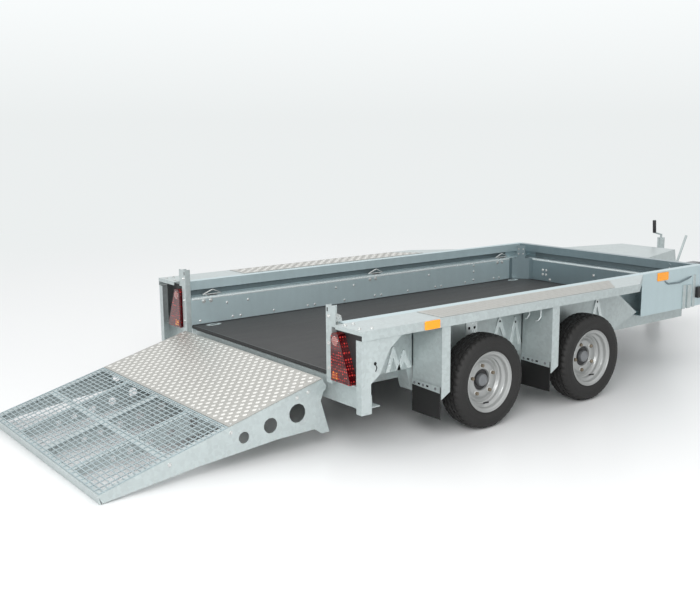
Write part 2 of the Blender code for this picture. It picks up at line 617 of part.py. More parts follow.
def build_ramp(trailer):
    """The ramp: welded frame with tapered beams, treadplate, mesh and assist springs."""
    carrier = empty("ramp_axis", (0, RAMP_AXIS_Y, RAMP_AXIS_Z), trailer, RAMP_SLOPE)
    top = RAMP_SEAT
    bore = ring(HINGE_ROD + HINGE_FIT, 0, 0, 16)
    side_holes = [bore] + [ring(r, -a, h, HOLE_STEPS) for a, h, r in ((0.50, -0.045, 0.030), (0.344, -0.055, 0.040),
                                                              (0.180, -0.065, 0.050))]
    lane_holes = [bore] + [ring(0.20 * (0.075 + 0.115 * (1.05 - a)), -a, -0.008 - 0.045 * (1.05 - a), HOLE_STEPS)
                          for a in (1.02, 0.93, 0.82, 0.70, 0.57, 0.42, 0.25)]
    pieces = []
    outer = RAMP_HALF_WIDTH
    for side in (-1, 1):
        near, far = side * outer, side * (outer - RAMP_WEB)
        pieces.append(prism(beam_outline(), "X", min(near, far), max(near, far), side_holes))
        inner = side * (outer - RAMP_EDGE_FLANGE)
        pieces.append(box((min(near, inner), max(near, inner)), (TOE_INSET - RAMP_LENGTH, RAMP_HEAD),
                          (top - RAMP_WEB, top)))
    for place in (-0.36, 0.0, 0.36):
        pieces.append(prism(beam_outline(0.004), "X", place - RAMP_WEB / 2, place + RAMP_WEB / 2, lane_holes))
        pieces.append(box((place - 0.02, place + 0.02), (-RAMP_LENGTH + 0.01, -0.03), (top - RAMP_WEB, top)))
    for along in (0.045, RAMP_PLATE_END, 0.90):
        pieces.append(box((-outer + 0.001, outer - 0.001), (-along - 0.02, -along + 0.02), (top - RAMP_WEB, top)))
    toe_y = TOE_INSET - RAMP_LENGTH
    foot = ((RAMP_WEB / 2 - toe_y) * sin(RAMP_SLOPE) - RAMP_AXIS_Z) / cos(RAMP_SLOPE)
    pieces.append(folded([(toe_y + 0.034, top - RAMP_WEB / 2), (toe_y, top - RAMP_WEB / 2), (toe_y, foot)],
                         "X", -outer, outer, RAMP_WEB))
    node("ramp_frame", fused(*pieces), "galvanised", carrier)

    deck = outer - 0.004
    plate = box((-deck, deck), (-RAMP_PLATE_END, RAMP_HEAD), (RAMP_RISE - RAMP_DECK, RAMP_RISE))
    node("ramp_treadplate", plate, "aluminium", carrier)

    x_cells, y_cells = MESH_CELLS
    low, high = -RAMP_LENGTH + 0.012, -RAMP_PLATE_END - 0.004
    x_pitch, y_pitch = (2 * deck - MESH_BAR) / x_cells, (high - low - MESH_BAR) / y_cells
    holes = []
    for i in range(x_cells):
        for j in range(y_cells):
            x, y = -deck + MESH_BAR + i * x_pitch, low + MESH_BAR + j * y_pitch
            right, ahead = x + x_pitch - MESH_BAR, y + y_pitch - MESH_BAR
            holes.append([(x, y), (right, y), (right, ahead), (x, ahead)])
    grid = prism([(-deck, low), (deck, low), (deck, high), (-deck, high)], "Z", RAMP_RISE - RAMP_DECK, RAMP_RISE,
                 holes)
    node("ramp_mesh", grid, "galvanised", carrier)

    for side, sign in (("left", -1), ("right", 1)):
        place = sign * (outer - RAMP_WEB - COIL_RADIUS - COIL_WIRE - FIT)
        node(f"ramp_spring_{side}", coil(place), "galvanised", carrier)


def coil(place):
    """A close helix of round wire along the ramp's edge."""
    steps, sides = 8, 4
    height = RAMP_RISE - RAMP_DECK - RAMP_WEB - 2 * FIT - COIL_RADIUS - COIL_WIRE
    shape = bmesh.new()
    rings = []
    count = COIL_TURNS * steps
    for i in range(count + 1):
        turn = 2 * pi * i / steps
        centre = Vector((place + COIL_RADIUS * sin(turn), -COIL_START - (COIL_END - COIL_START) * i / count,
                         height + COIL_RADIUS * cos(turn)))
        out = Vector((sin(turn), 0, cos(turn)))
        rings.append([shape.verts.new(centre + COIL_WIRE * (out * cos(2 * pi * k / sides)
                                                           + Vector((0, 1, 0)) * sin(2 * pi * k / sides)))
                      for k in range(sides)])
    for one, two in zip(rings, rings[1:]):
        for k in range(sides):
            shape.faces.new((one[k], one[(k + 1) % sides], two[(k + 1) % sides], two[k]))
    shape.faces.new(rings[0])
    shape.faces.new(rings[-1][::-1])
    return to_object(shape)


def build_drawbar(carrier):
    """The two converging beams, the coupling on their tip and the bucket rest over them."""
    top = DRAWBAR_TOP
    pieces = []
    for side in (-1, 1):
        pieces.append(bar((side * DRAWBAR_HALF, DRAWBAR_START, top), (side * DRAWBAR_TIP_HALF, DRAWBAR_END, top),
                          DRAWBAR_WIDTH, DRAWBAR_DEPTH))
    for place, half in ((REST_REAR + 0.02, REST_REAR_HALF + REST_SPREAD), (REST_FRONT - 0.04, REST_FRONT_HALF + 0.045)):
        pieces.append(box((-half, half), (place, place + 0.05), (top - 0.05, top)))
    pieces.append(box((-TIP_HALF, TIP_HALF), (DRAWBAR_END - 0.22, DRAWBAR_END + 0.06),
                      (top - DRAWBAR_DEPTH + 0.002, top - 0.002)))
    pieces.append(box((-RISER_HALF, RISER_HALF), (DRAWBAR_END - 0.20, JOCKEY_Y + JOCKEY_TUBE),
                      (top - 0.004, COUPLING_Z - SHAFT_HEAD - FIT)))
    node("drawbar", fused(*pieces), "galvanised", carrier)

    housing = fused(box((-0.052, 0.052), (DRAWBAR_END - 0.19, DRAWBAR_END + 0.02),
                        (COUPLING_Z - SHAFT_HEAD, COUPLING_Z + 0.045)),
                    rod((0, DRAWBAR_END, COUPLING_Z), (0, NOSE_Y - 0.20, COUPLING_Z), SHAFT_RADIUS, 20),
                    rod((0, DRAWBAR_END, COUPLING_Z), (0, DRAWBAR_END + 0.13, COUPLING_Z), SHAFT_HEAD, 20))
    node("coupling_housing", housing, "cast_steel", carrier)
    head_y = NOSE_Y - 0.2 + FIT
    outline = [(head_y, COUPLING_Z - 0.038), (head_y + 0.12, COUPLING_Z - 0.038), (NOSE_Y - 0.03, COUPLING_Z - 0.030),
               (NOSE_Y, COUPLING_Z - 0.005), (NOSE_Y - 0.012, COUPLING_Z + 0.030), (NOSE_Y - 0.06, COUPLING_Z + 0.052),
               (head_y + 0.03, COUPLING_Z + 0.052), (head_y, COUPLING_Z + 0.040)]
    node("coupling_head", prism(outline, "X", -0.036, 0.036), "cast_steel", carrier)
    lever = fused(rod((0.062, DRAWBAR_END - 0.06, COUPLING_Z), (0.062, DRAWBAR_END + 0.10, COUPLING_Z + 0.30), 0.010),
                  rod((0.0525, DRAWBAR_END - 0.06, COUPLING_Z), (0.075, DRAWBAR_END - 0.06, COUPLING_Z), 0.020))
    node("handbrake_lever", lever, "galvanised", carrier)

    low, high = top + FIT, WALL_TOP
    wide, narrow = REST_REAR_HALF, REST_FRONT_HALF
    cover = rest_shell(wide, narrow, low, high)
    node("bucket_rest", cover, "galvanised", carrier)


def rest_shell(wide, narrow, low, high):
    """An open-bottomed folded cover, its sides leaning out to the drawbar."""
    def corners(inset, z, spread):
        return [(-wide - spread + inset, REST_REAR + inset, z), (wide + spread - inset, REST_REAR + inset, z),
                (narrow + spread - inset, REST_FRONT + spread - inset, z),
                (-narrow - spread + inset, REST_FRONT + spread - inset, z)]
    shape = bmesh.new()
    rows = [[shape.verts.new(p) for p in corners(inset, z, spread)]
            for inset, z, spread in ((SHEET, high - SHEET, 0), (SHEET, low, REST_SPREAD), (0, low, REST_SPREAD),
                                     (0, high, 0))]
    for one, two in zip(rows, rows[1:]):
        for i in range(4):
            shape.faces.new((one[i], one[(i + 1) % 4], two[(i + 1) % 4], two[i]))
    shape.faces.new(rows[0])
    shape.faces.new(rows[-1])
    return to_object(shape)


def build_jockey(trailer, carrier):
    """Jockey wheel: clamped outer tube with its crank, sliding tube, swivelling fork and wheel."""
    x, y = JOCKEY_X, JOCKEY_Y
    wall = JOCKEY_INNER + FIT
    tube = turned([(wall, JOCKEY_TUBE_BOTTOM), (JOCKEY_TUBE, JOCKEY_TUBE_BOTTOM), (JOCKEY_TUBE, JOCKEY_TUBE_TOP),
                   (0.006, JOCKEY_TUBE_TOP), (0.006, JOCKEY_TUBE_TOP - 0.006), (wall, JOCKEY_TUBE_TOP - 0.006)], 20,
                  (x, y, 0), "Z")
    top = DRAWBAR_TOP
    clamp = box((x + JOCKEY_TUBE - 0.004, -RISER_HALF - FIT), (y - 0.018, y + 0.020), (top + 0.002, top + 0.054))
    crank_y = y + 0.01
    stem = rod((x, y, JOCKEY_TUBE_TOP - 0.004), (x, y, JOCKEY_TUBE_TOP + 0.030), 0.009, 12)
    arm = rod((x, y, JOCKEY_TUBE_TOP + 0.024), (x, crank_y - 0.110, JOCKEY_TUBE_TOP + 0.050), 0.007, 12)
    grip = rod((x, crank_y - 0.108, JOCKEY_TUBE_TOP + 0.046), (x, crank_y - 0.118, JOCKEY_TUBE_TOP + 0.155), 0.012,
               12)
    node("jockey_clamp_tube", fused(tube, clamp, stem, arm, grip), "galvanised", carrier)

    slide = empty("jockey_slide_axis", (x, y, 0), trailer)
    neck = 2 * JOCKEY_WHEEL_RADIUS + 0.030
    inner = fused(rod((0, 0, neck), (0, 0, JOCKEY_TUBE_BOTTOM + 0.16), JOCKEY_INNER, 20),
                  rod((0, 0, neck), (0, 0, neck + 0.012), JOCKEY_TUBE, 20))
    node("jockey_inner_tube", inner, "galvanised", slide)

    swivel = empty("jockey_swivel_axis", (0, 0, 0), slide)
    half = JOCKEY_WHEEL_WIDTH / 2 + 0.005
    plate = box((-half - 0.004, half + 0.004), (-JOCKEY_TRAIL - 0.02, 0.028), (neck - 0.0053, neck - FIT))
    outline = [(-JOCKEY_TRAIL - 0.018, JOCKEY_WHEEL_RADIUS - 0.014), (-JOCKEY_TRAIL + 0.018, JOCKEY_WHEEL_RADIUS - 0.014),
               (0.024, neck - 0.002), (-JOCKEY_TRAIL - 0.018, neck - 0.002)]
    cheeks = [prism(outline, "X", side * (half + 0.002) - 0.002, side * (half + 0.002) + 0.002) for side in (-1, 1)]
    pin = rod((-half - 0.008, -JOCKEY_TRAIL, JOCKEY_WHEEL_RADIUS), (half + 0.008, -JOCKEY_TRAIL, JOCKEY_WHEEL_RADIUS),
              0.008, 12)
    node("jockey_fork", fused(plate, *cheeks, pin), "galvanised", swivel)

    axle = empty("jockey_wheel_axis", (0, -JOCKEY_TRAIL, JOCKEY_WHEEL_RADIUS), swivel)
    wide = JOCKEY_WHEEL_WIDTH / 2
    radius = JOCKEY_WHEEL_RADIUS
    profile = [(0.0086, wide), (0.0086, -wide), (0.030, -wide), (0.050, -wide * 0.6), (radius - 0.022, -wide * 0.6),
               (radius - 0.016, -wide), (radius - 0.004, -wide * 0.85), (radius, -wide * 0.5), (radius, wide * 0.5),
               (radius - 0.004, wide * 0.85), (radius - 0.016, wide), (radius - 0.022, wide * 0.6),
               (0.050, wide * 0.6), (0.030, wide)]
    node("jockey_wheel", turned(profile, 16), "rubber", axle)


def main():
    """Clear the scene and build the trailer."""
    for old in list(bpy.data.objects):
        bpy.data.objects.remove(old)
    trailer = empty("trailer", (0, -CENTRE_Y, 0))
    build_bed(trailer)
    build_platforms(trailer)
    build_chassis(trailer)
    build_rear_beam(trailer)
    build_rear_frames(trailer)
    build_partitions(trailer)
    build_axles(trailer)
    build_wheels(trailer)
    build_ramp(trailer)
    build_drawbar(trailer)
    build_jockey(trailer, trailer)


main()
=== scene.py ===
"""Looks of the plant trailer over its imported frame.

Adds procedural materials, small parts that the solids leave out, a pale studio floor, soft light and the
camera. Metres, +Z up, +Y the way the trailer is towed, +X its right side. Places along the bed are written
from the bed's rear edge, as in the part's source, and bed() moves them into the frame. What stands on both
sides is written once, with distances out from the middle plane.
"""
from __future__ import annotations

import logging
from collections.abc import Callable, Sequence
from dataclasses import dataclass
from enum import Enum, auto
from math import cos, pi, radians, sin, sqrt

import bmesh
import bpy
from mathutils import Matrix, Vector

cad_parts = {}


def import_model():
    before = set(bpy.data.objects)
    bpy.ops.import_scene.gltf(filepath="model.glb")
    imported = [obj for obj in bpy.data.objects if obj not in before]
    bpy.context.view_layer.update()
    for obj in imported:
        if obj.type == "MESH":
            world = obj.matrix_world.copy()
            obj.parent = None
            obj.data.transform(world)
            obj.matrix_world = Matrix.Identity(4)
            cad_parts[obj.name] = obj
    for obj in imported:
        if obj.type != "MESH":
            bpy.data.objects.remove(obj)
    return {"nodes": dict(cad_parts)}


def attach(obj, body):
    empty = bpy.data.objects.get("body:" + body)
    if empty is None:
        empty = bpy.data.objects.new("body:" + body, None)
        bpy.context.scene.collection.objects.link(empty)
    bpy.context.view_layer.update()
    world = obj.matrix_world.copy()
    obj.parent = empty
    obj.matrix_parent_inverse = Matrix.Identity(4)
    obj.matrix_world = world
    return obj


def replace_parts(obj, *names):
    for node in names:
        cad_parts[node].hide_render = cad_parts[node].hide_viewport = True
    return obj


LOG = logging.getLogger("trailer")

Pair = tuple[float, float]
Triple = tuple[float, float, float]
Table = tuple[tuple[float, ...], ...]
Places = tuple[float, ...]

# Places repeated from the part's source
BED_REAR = -1.60903
BED_LENGTH = 3.05
FLOOR_TOP = 0.396
LEDGE_Z = 0.570
WALL_TOP = 0.670
PANEL_FACE = 0.750
GROOVE_BACK = 0.836
WALL_OUTER = 0.861
PLATFORM_OUTER = 1.078
RAMP_AXIS = Vector((0.0, -1.66403, 0.325))
RAMP_SLOPE = radians(14.75974)
RAMP_RISE = 0.045
RAMP_HALF = 0.742
RAMP_PLATE_END = 0.560
RAMP_LENGTH = 1.262
WHEEL_RADIUS = 0.262
WHEEL_X = 0.9885
AXLES = {"rear": 0.846, "front": 1.708}
SIDES = {"left": -1, "right": 1}
PARTITIONS = {"rear": 0.470, "middle": 1.325}

RAMP_FRAME = Matrix.Translation(RAMP_AXIS) @ Matrix.Rotation(RAMP_SLOPE, 4, "X")
UP = Vector((0, 0, 1))
BACK = Vector((0, -1, 0))
OUTWARD = Vector((1, 0, 0))

# How far a fitting is let into the face that carries it
SEAT = 0.0003
# Sharpest angles, in degrees, that are shaded smooth: on small fixings, folded sheet and raised bars
SMOOTH = 32
CRISP = 30
ROUNDED = 60
METAL_BUMP = 0.0002


def bed(x: float, y: float, z: float) -> Vector:
    """Give the place of a point measured from the bed's rear edge.

    Args:
        x: distance to the right of the middle plane.
        y: distance ahead of the bed's rear edge.
        z: height over the ground.

    Returns:
        The same point in the frame's own coordinates.
    """
    return Vector((x, y + BED_REAR, z))


def outward(side: int) -> Vector:
    """Give the direction that points out from one side, whose sign it takes."""
    return OUTWARD * side


class Slot(Enum):
    """Names of the material slots that the pieces are given; nothing here reads them."""

    GALVANISED = "galvanised"
    ALUMINIUM = "aluminium"
    PHENOLIC = "phenolic"
    RUBBER = "rubber"
    TYRE = "tyre"
    WHEEL = "wheel_steel"
    LAMP = "lamp"


class Look(Enum):
    """The materials, each of which has its member's name in small letters."""

    ZINC = auto()
    ZINC_WALL = auto()
    ZINC_HEAD_SHADE = auto()
    ZINC_MESH = auto()
    ZINC_DARK = auto()
    ZINC_HIGHLIGHT = auto()
    ZINC_GROOVE_SHADE = auto()
    BOLT_ZINC = auto()
    CAST_ZINC = auto()
    TREAD_ALUMINIUM = auto()
    RAMP_ALUMINIUM = auto()
    TREAD_HIGHLIGHT = auto()
    TYRE_RUBBER = auto()
    FLAP_RUBBER = auto()
    WHEEL_PAINT = auto()
    WHEEL_BOLT = auto()
    BLACK_PLASTIC = auto()
    HOLE_SHADE = auto()
    LENS_RED = auto()
    LENS_CLEAR = auto()
    LENS_AMBER = auto()
    REFLECTOR_AMBER = auto()
    FLOOR_FILM = auto()


@dataclass(frozen=True)
class MetalTone:
    """How one batch of zinc or aluminium looks.

    Args:
        look: the material.
        tone: base colour.
        metallic: share of metal.
        rough: middle roughness.
        spangle: strength of the crystal pattern.
        cloud: strength of the large clouds.
        scale: crystals per metre.
    """

    look: Look
    tone: Triple
    metallic: float
    rough: float
    spangle: float
    cloud: float
    scale: float


@dataclass(frozen=True)
class PlainTone:
    """How a plastic, rubber or painted piece looks.

    Args:
        look: the material.
        tone: base colour.
        rough: middle roughness.
        grain: depth of the fine grain, in metres.
        grain_scale: grains per metre.
        vary: how far the colour varies.
        metallic: share of metal.
        coat: clear coat weight.
    """

    look: Look
    tone: Triple
    rough: float
    grain: float
    grain_scale: float
    vary: float
    metallic: float = 0.0
    coat: float = 0.0


@dataclass(frozen=True)
class LensTone:
    """How a moulded lens with rows of small prisms looks.

    Args:
        look: the material.
        deep: colour between the prisms.
        bright: colour of the prisms that catch the light, a painted highlight.
        pitch: prisms per metre.
        glow: light given off, a painted glow so that it looks lit through.
    """

    look: Look
    deep: Triple
    bright: Triple
    pitch: float
    glow: float


METALS = (
    MetalTone(Look.ZINC, (0.47, 0.525, 0.525), 0.40, 0.34, 0.12, 0.14, 60.0),
    MetalTone(Look.ZINC_WALL, (0.52, 0.63, 0.655), 0.52, 0.36, 0.02, 0.12, 60.0),
    # Dark copy of zinc: painted shade on the headboard and corner gussets at the bed's front end
    MetalTone(Look.ZINC_HEAD_SHADE, (0.25, 0.32, 0.345), 0.60, 0.30, 0.02, 0.12, 60.0),
    MetalTone(Look.ZINC_MESH, (0.42, 0.50, 0.52), 0.60, 0.36, 0.10, 0.20, 60.0),
    MetalTone(Look.ZINC_DARK, (0.20, 0.25, 0.27), 0.60, 0.42, 0.20, 0.35, 36.0),
    # Bright copy of zinc: painted highlight on the ledge and headboard folds, the flap hooks and the stays
    MetalTone(Look.ZINC_HIGHLIGHT, (0.74, 0.80, 0.80), 0.40, 0.26, 0.03, 0.10, 90.0),
    # Dark copy of zinc: painted shade at the back of the rope groove
    MetalTone(Look.ZINC_GROOVE_SHADE, (0.13, 0.165, 0.175), 0.40, 0.45, 0.05, 0.12, 60.0),
    MetalTone(Look.BOLT_ZINC, (0.60, 0.61, 0.60), 0.60, 0.28, 0.04, 0.12, 200.0),
    MetalTone(Look.CAST_ZINC, (0.24, 0.25, 0.26), 0.60, 0.48, 0.05, 0.25, 160.0),
    MetalTone(Look.TREAD_ALUMINIUM, (0.47, 0.47, 0.445), 0.62, 0.36, 0.03, 0.12, 90.0),
    MetalTone(Look.RAMP_ALUMINIUM, (0.46, 0.455, 0.425), 0.62, 0.38, 0.03, 0.12, 90.0),
    # Bright copy of the aluminium: painted highlight on the tread marks that face the light
    MetalTone(Look.TREAD_HIGHLIGHT, (0.84, 0.83, 0.79), 0.50, 0.26, 0.02, 0.06, 90.0),
)

PLAINS = (
    PlainTone(Look.TYRE_RUBBER, (0.014, 0.0135, 0.013), 0.66, 0.0003, 700.0, 0.30),
    PlainTone(Look.FLAP_RUBBER, (0.010, 0.010, 0.010), 0.55, 0.0002, 500.0, 0.20),
    PlainTone(Look.WHEEL_PAINT, (0.40, 0.41, 0.405), 0.36, 0.00005, 1500.0, 0.06, 0.45, 0.2),
    PlainTone(Look.WHEEL_BOLT, (0.24, 0.20, 0.15), 0.45, 0.0001, 900.0, 0.25, 0.75),
    PlainTone(Look.BLACK_PLASTIC, (0.018, 0.018, 0.019), 0.42, 0.0001, 1200.0, 0.20),
    # Near black: painted shade where the holes and slots are
    PlainTone(Look.HOLE_SHADE, (0.004, 0.004, 0.005), 0.90, 0.0, 10.0, 0.0),
)

# Lamp windows and reflector: painted highlights on the prisms and a painted glow
LENSES = (
    LensTone(Look.LENS_RED, (0.060, 0.001, 0.003), (0.85, 0.06, 0.05), 66.0, 0.03),
    LensTone(Look.LENS_CLEAR, (0.30, 0.10, 0.09), (0.92, 0.84, 0.82), 92.0, 0.02),
    LensTone(Look.LENS_AMBER, (0.22, 0.020, 0.004), (1.0, 0.50, 0.03), 66.0, 0.30),
    LensTone(Look.REFLECTOR_AMBER, (0.95, 0.33, 0.0), (1.0, 0.44, 0.01), 210.0, 0.10),
)

# Material of the solids whose names start so. The others that stay in view are plain zinc
NODE_LOOKS = (
    ("floor_board", Look.FLOOR_FILM), ("ramp_treadplate", Look.RAMP_ALUMINIUM),
    ("tread_inlay", Look.TREAD_ALUMINIUM), ("mudflap", Look.FLAP_RUBBER), ("jockey_wheel", Look.FLAP_RUBBER),
    ("rear_lamp", Look.LENS_RED), ("coupling", Look.CAST_ZINC), ("side_wall", Look.ZINC_WALL),
    # The headboard and corner gussets take the darker zinc, painted shade
    ("headboard", Look.ZINC_HEAD_SHADE), ("corner_gusset", Look.ZINC_HEAD_SHADE),
)


class Tree:
    """Short hand for a node tree."""

    def __init__(self, tree: bpy.types.NodeTree) -> None:
        """Keep the node tree of a material, world or group."""
        self.tree = tree

    def feed(self, node: bpy.types.Node, inputs: dict) -> None:
        """Link or set the inputs of a node.

        Args:
            node: the node.
            inputs: values or sockets by input name or number.
        """
        for key, value in inputs.items():
            if isinstance(value, bpy.types.NodeSocket):
                self.tree.links.new(value, node.inputs[key])
            else:
                node.inputs[key].default_value = value

    def add(self, kind: str, inputs: dict | None = None, **settings: object) -> bpy.types.Node:
        """Add a node.

        Args:
            kind: its Blender type.
            inputs: values or sockets by input name or number.
            settings: its own properties.

        Returns:
            The node.
        """
        node = self.tree.nodes.new(kind)
        for name, value in settings.items():
            setattr(node, name, value)
        self.feed(node, inputs or {})
        return node

    def math(self, operation: str, *values: object) -> bpy.types.NodeSocket:
        """Add a math node over numbers or sockets and give its result."""
        return self.add("ShaderNodeMath", dict(enumerate(values)), operation=operation).outputs[0]

    def place(self, kind: str = "Object") -> bpy.types.NodeSocket:
        """Give the coordinates of one kind."""
        return self.add("ShaderNodeTexCoord").outputs[kind]

    def scaled(self, vector: object, factor: object) -> bpy.types.NodeSocket:
        """Give a vector or colour times a factor."""
        return self.add("ShaderNodeVectorMath", {0: vector, 3: factor}, operation="SCALE").outputs[0]

    def noise(self, place: object, scale: object, detail: float, rough: float = 0.5) -> bpy.types.NodeSocket:
        """Give soft noise from 0 to 1.

        Args:
            place: coordinates.
            scale: features per metre.
            detail: layers of finer noise.
            rough: strength of each finer layer.

        Returns:
            Its socket.
        """
        inputs = {"Vector": place, "Scale": scale, "Detail": detail, "Roughness": rough}
        return self.add("ShaderNodeTexNoise", inputs).outputs["Fac"]

    def fade(self, value: object, start: Pair, result: Pair,
             kind: str = "SMOOTHSTEP") -> bpy.types.NodeSocket:
        """Move a value smoothly from one range to another.

        Args:
            value: the value.
            start: the range that it comes from.
            result: the range that it goes to.
            kind: the Map Range node's interpolation.

        Returns:
            The new value's socket.
        """
        inputs = {"Value": value, "From Min": start[0], "From Max": start[1], "To Min": result[0],
                  "To Max": result[1]}
        return self.add("ShaderNodeMapRange", inputs, interpolation_type=kind).outputs[0]

    def bump(self, height: object, strength: float, depth: float) -> bpy.types.NodeSocket:
        """Give the normal of a surface with a height that is depth metres at one."""
        inputs = {"Height": height, "Strength": strength, "Distance": depth}
        return self.add("ShaderNodeBump", inputs).outputs["Normal"]

    def swing(self, source: bpy.types.NodeSocket, strength: object) -> bpy.types.NodeSocket:
        """Turn a value about one half into a factor about one, by a strength."""
        centred = self.math("SUBTRACT", source, 0.5)
        return self.math("MULTIPLY_ADD", centred, strength, 1.0)

    def product(self, *factors: object) -> bpy.types.NodeSocket:
        """Multiply numbers or sockets.

        Args:
            factors: the numbers or sockets, in order.

        Returns:
            The product's socket.
        """
        result = factors[0]
        for factor in factors[1:]:
            result = self.math("MULTIPLY", result, factor)
        return result


class Materials:
    """Every material, made once from the tables of tones."""

    def __init__(self) -> None:
        """Make the shared groups and the materials."""
        self.known: dict[Look, bpy.types.Material] = {}
        metal = self._metal_group()
        plain = self._plain_group()
        for tone in METALS:
            values = {"Spangle": tone.spangle, "Cloud": tone.cloud, "Scale": tone.scale}
            self._surface(tone, metal, values, METAL_BUMP)
        for tone in PLAINS:
            shader = self._surface(tone, plain, {"Vary": tone.vary, "Scale": tone.grain_scale}, tone.grain)
            shader.inputs["Coat Weight"].default_value = tone.coat
        for tone in LENSES:
            self._lens(tone)
        self._floor_film()

    def __getitem__(self, look: Look) -> bpy.types.Material:
        """Give the material of a look."""
        return self.known[look]

    @staticmethod
    def _group(name: str, numbers: Sequence[str]) -> tuple[Tree, Sequence, bpy.types.Node]:
        """Start a shader group that takes a tone and numbers, and gives colour, roughness and height.

        Args:
            name: name of the group.
            numbers: names of its number inputs.

        Returns:
            The tree, the sockets of its inputs and its output node.
        """
        group = bpy.data.node_groups.new(name, "ShaderNodeTree")
        group.interface.new_socket("Tone", in_out="INPUT", socket_type="NodeSocketColor")
        for label in numbers:
            group.interface.new_socket(label, in_out="INPUT", socket_type="NodeSocketFloat")
        group.interface.new_socket("Color", in_out="OUTPUT", socket_type="NodeSocketColor")
        for label in ("Roughness", "Height"):
            group.interface.new_socket(label, in_out="OUTPUT", socket_type="NodeSocketFloat")
        tree = Tree(group)
        return tree, tree.add("NodeGroupInput").outputs, tree.add("NodeGroupOutput")

    def _metal_group(self) -> bpy.types.NodeTree:
        """Make the group for zinc and aluminium: crystals, clouds and runs.

        Returns:
            The group.
        """
        tree, given, result = self._group("metal_surface", ("Rough", "Spangle", "Cloud", "Scale"))
        place = tree.place()
        warp = tree.add("ShaderNodeTexNoise", {"Vector": place, "Scale": 30.0, "Detail": 2.0})
        shift = tree.scaled(warp.outputs["Color"], 0.02)
        bent = tree.add("ShaderNodeVectorMath", {0: place, 1: shift}, operation="ADD")
        cells = tree.add("ShaderNodeTexVoronoi", {"Vector": bent.outputs[0], "Scale": given["Scale"]})
        crystal = tree.add("ShaderNodeSeparateColor", {0: cells.outputs["Color"]}).outputs[0]
        clouds = tree.noise(place, 2.6, 4.0)
        stretched = tree.add("ShaderNodeMapping", {"Vector": place, "Scale": (16.0, 16.0, 1.6)})
        runs = tree.noise(stretched.outputs[0], 1.0, 5.0, 0.6)
        fine = tree.noise(place, 420.0, 2.0)
        factor = tree.product(tree.swing(crystal, given["Spangle"]), tree.swing(clouds, given["Cloud"]),
                              tree.swing(runs, given["Cloud"]))
        rough = tree.product(given["Rough"], tree.swing(crystal, 0.06), tree.swing(runs, 0.3))
        height = tree.math("ADD", tree.product(fine, 0.012), tree.product(crystal, 0.004))
        tree.feed(result, {"Color": tree.scaled(given["Tone"], factor), "Roughness": rough, "Height": height})
        return tree.tree

    def _plain_group(self) -> bpy.types.NodeTree:
        """Make the group for rubber, plastic and paint: fine grain and soft dust.

        Returns:
            The group.
        """
        tree, given, result = self._group("plain_surface", ("Rough", "Vary", "Scale"))
        place = tree.place()
        dust = tree.noise(place, 14.0, 5.0)
        grain = tree.noise(place, given["Scale"], 2.0)
        factor = tree.product(tree.swing(dust, given["Vary"]), tree.swing(grain, given["Vary"]))
        tree.feed(result, {"Color": tree.scaled(given["Tone"], factor), "Height": grain,
                           "Roughness": tree.product(given["Rough"], tree.swing(dust, 0.35))})
        return tree.tree

    def _start(self, look: Look) -> tuple[Tree, bpy.types.Node]:
        """Start a material with a lone Principled shader.

        Args:
            look: which material it is.

        Returns:
            Its tree and its shader.
        """
        material = bpy.data.materials.new(look.name.lower())
        material.use_nodes = True
        self.known[look] = material
        return Tree(material.node_tree), material.node_tree.nodes["Principled BSDF"]

    def _surface(self, tone: MetalTone | PlainTone, group: bpy.types.NodeTree, values: dict[str, float],
                 depth: float) -> bpy.types.Node:
        """Make a material from one of the shared groups.

        Args:
            tone: how it looks.
            group: the group.
            values: the group's own numbers by name.
            depth: bump depth in metres.

        Returns:
            Its Principled shader.
        """
        tree, shader = self._start(tone.look)
        inputs = {"Tone": (*tone.tone, 1), "Rough": tone.rough, **values}
        source = tree.add("ShaderNodeGroup", inputs, node_tree=group).outputs
        tree.feed(shader, {"Base Color": source["Color"], "Roughness": source["Roughness"],
                           "Metallic": tone.metallic})
        if depth > 0:
            tree.feed(shader, {"Normal": tree.bump(source["Height"], 1.0, depth)})
        return shader

    def _lens(self, tone: LensTone) -> None:
        """Make one moulded lens: round prisms with painted highlights on a deep ground, with a painted glow,
        under a clear coat.

        Args:
            tone: how it looks.
        """
        tree, shader = self._start(tone.look)
        inputs = {"Vector": tree.place(), "Scale": tone.pitch, "Randomness": 0.15}
        cells = tree.add("ShaderNodeTexVoronoi", inputs).outputs
        # The prism spots are the bump and also the painted highlights in the colour; the emission is a
        # painted glow
        spot = tree.fade(cells["Distance"], (0.18, 0.42), (1.0, 0.0))
        pick = tree.add("ShaderNodeSeparateColor", {0: cells["Color"]}).outputs[1]
        share = tree.product(spot, tree.math("MULTIPLY_ADD", pick, 0.7, 0.3))
        colour = tree.add("ShaderNodeMix", {0: share, 6: (*tone.deep, 1), 7: (*tone.bright, 1)},
                          data_type="RGBA").outputs[2]
        tree.feed(shader, {"Base Color": colour, "Emission Color": colour, "Emission Strength": tone.glow,
                           "Roughness": 0.14, "Coat Weight": 0.5, "Normal": tree.bump(spot, 0.6, 0.0008)})

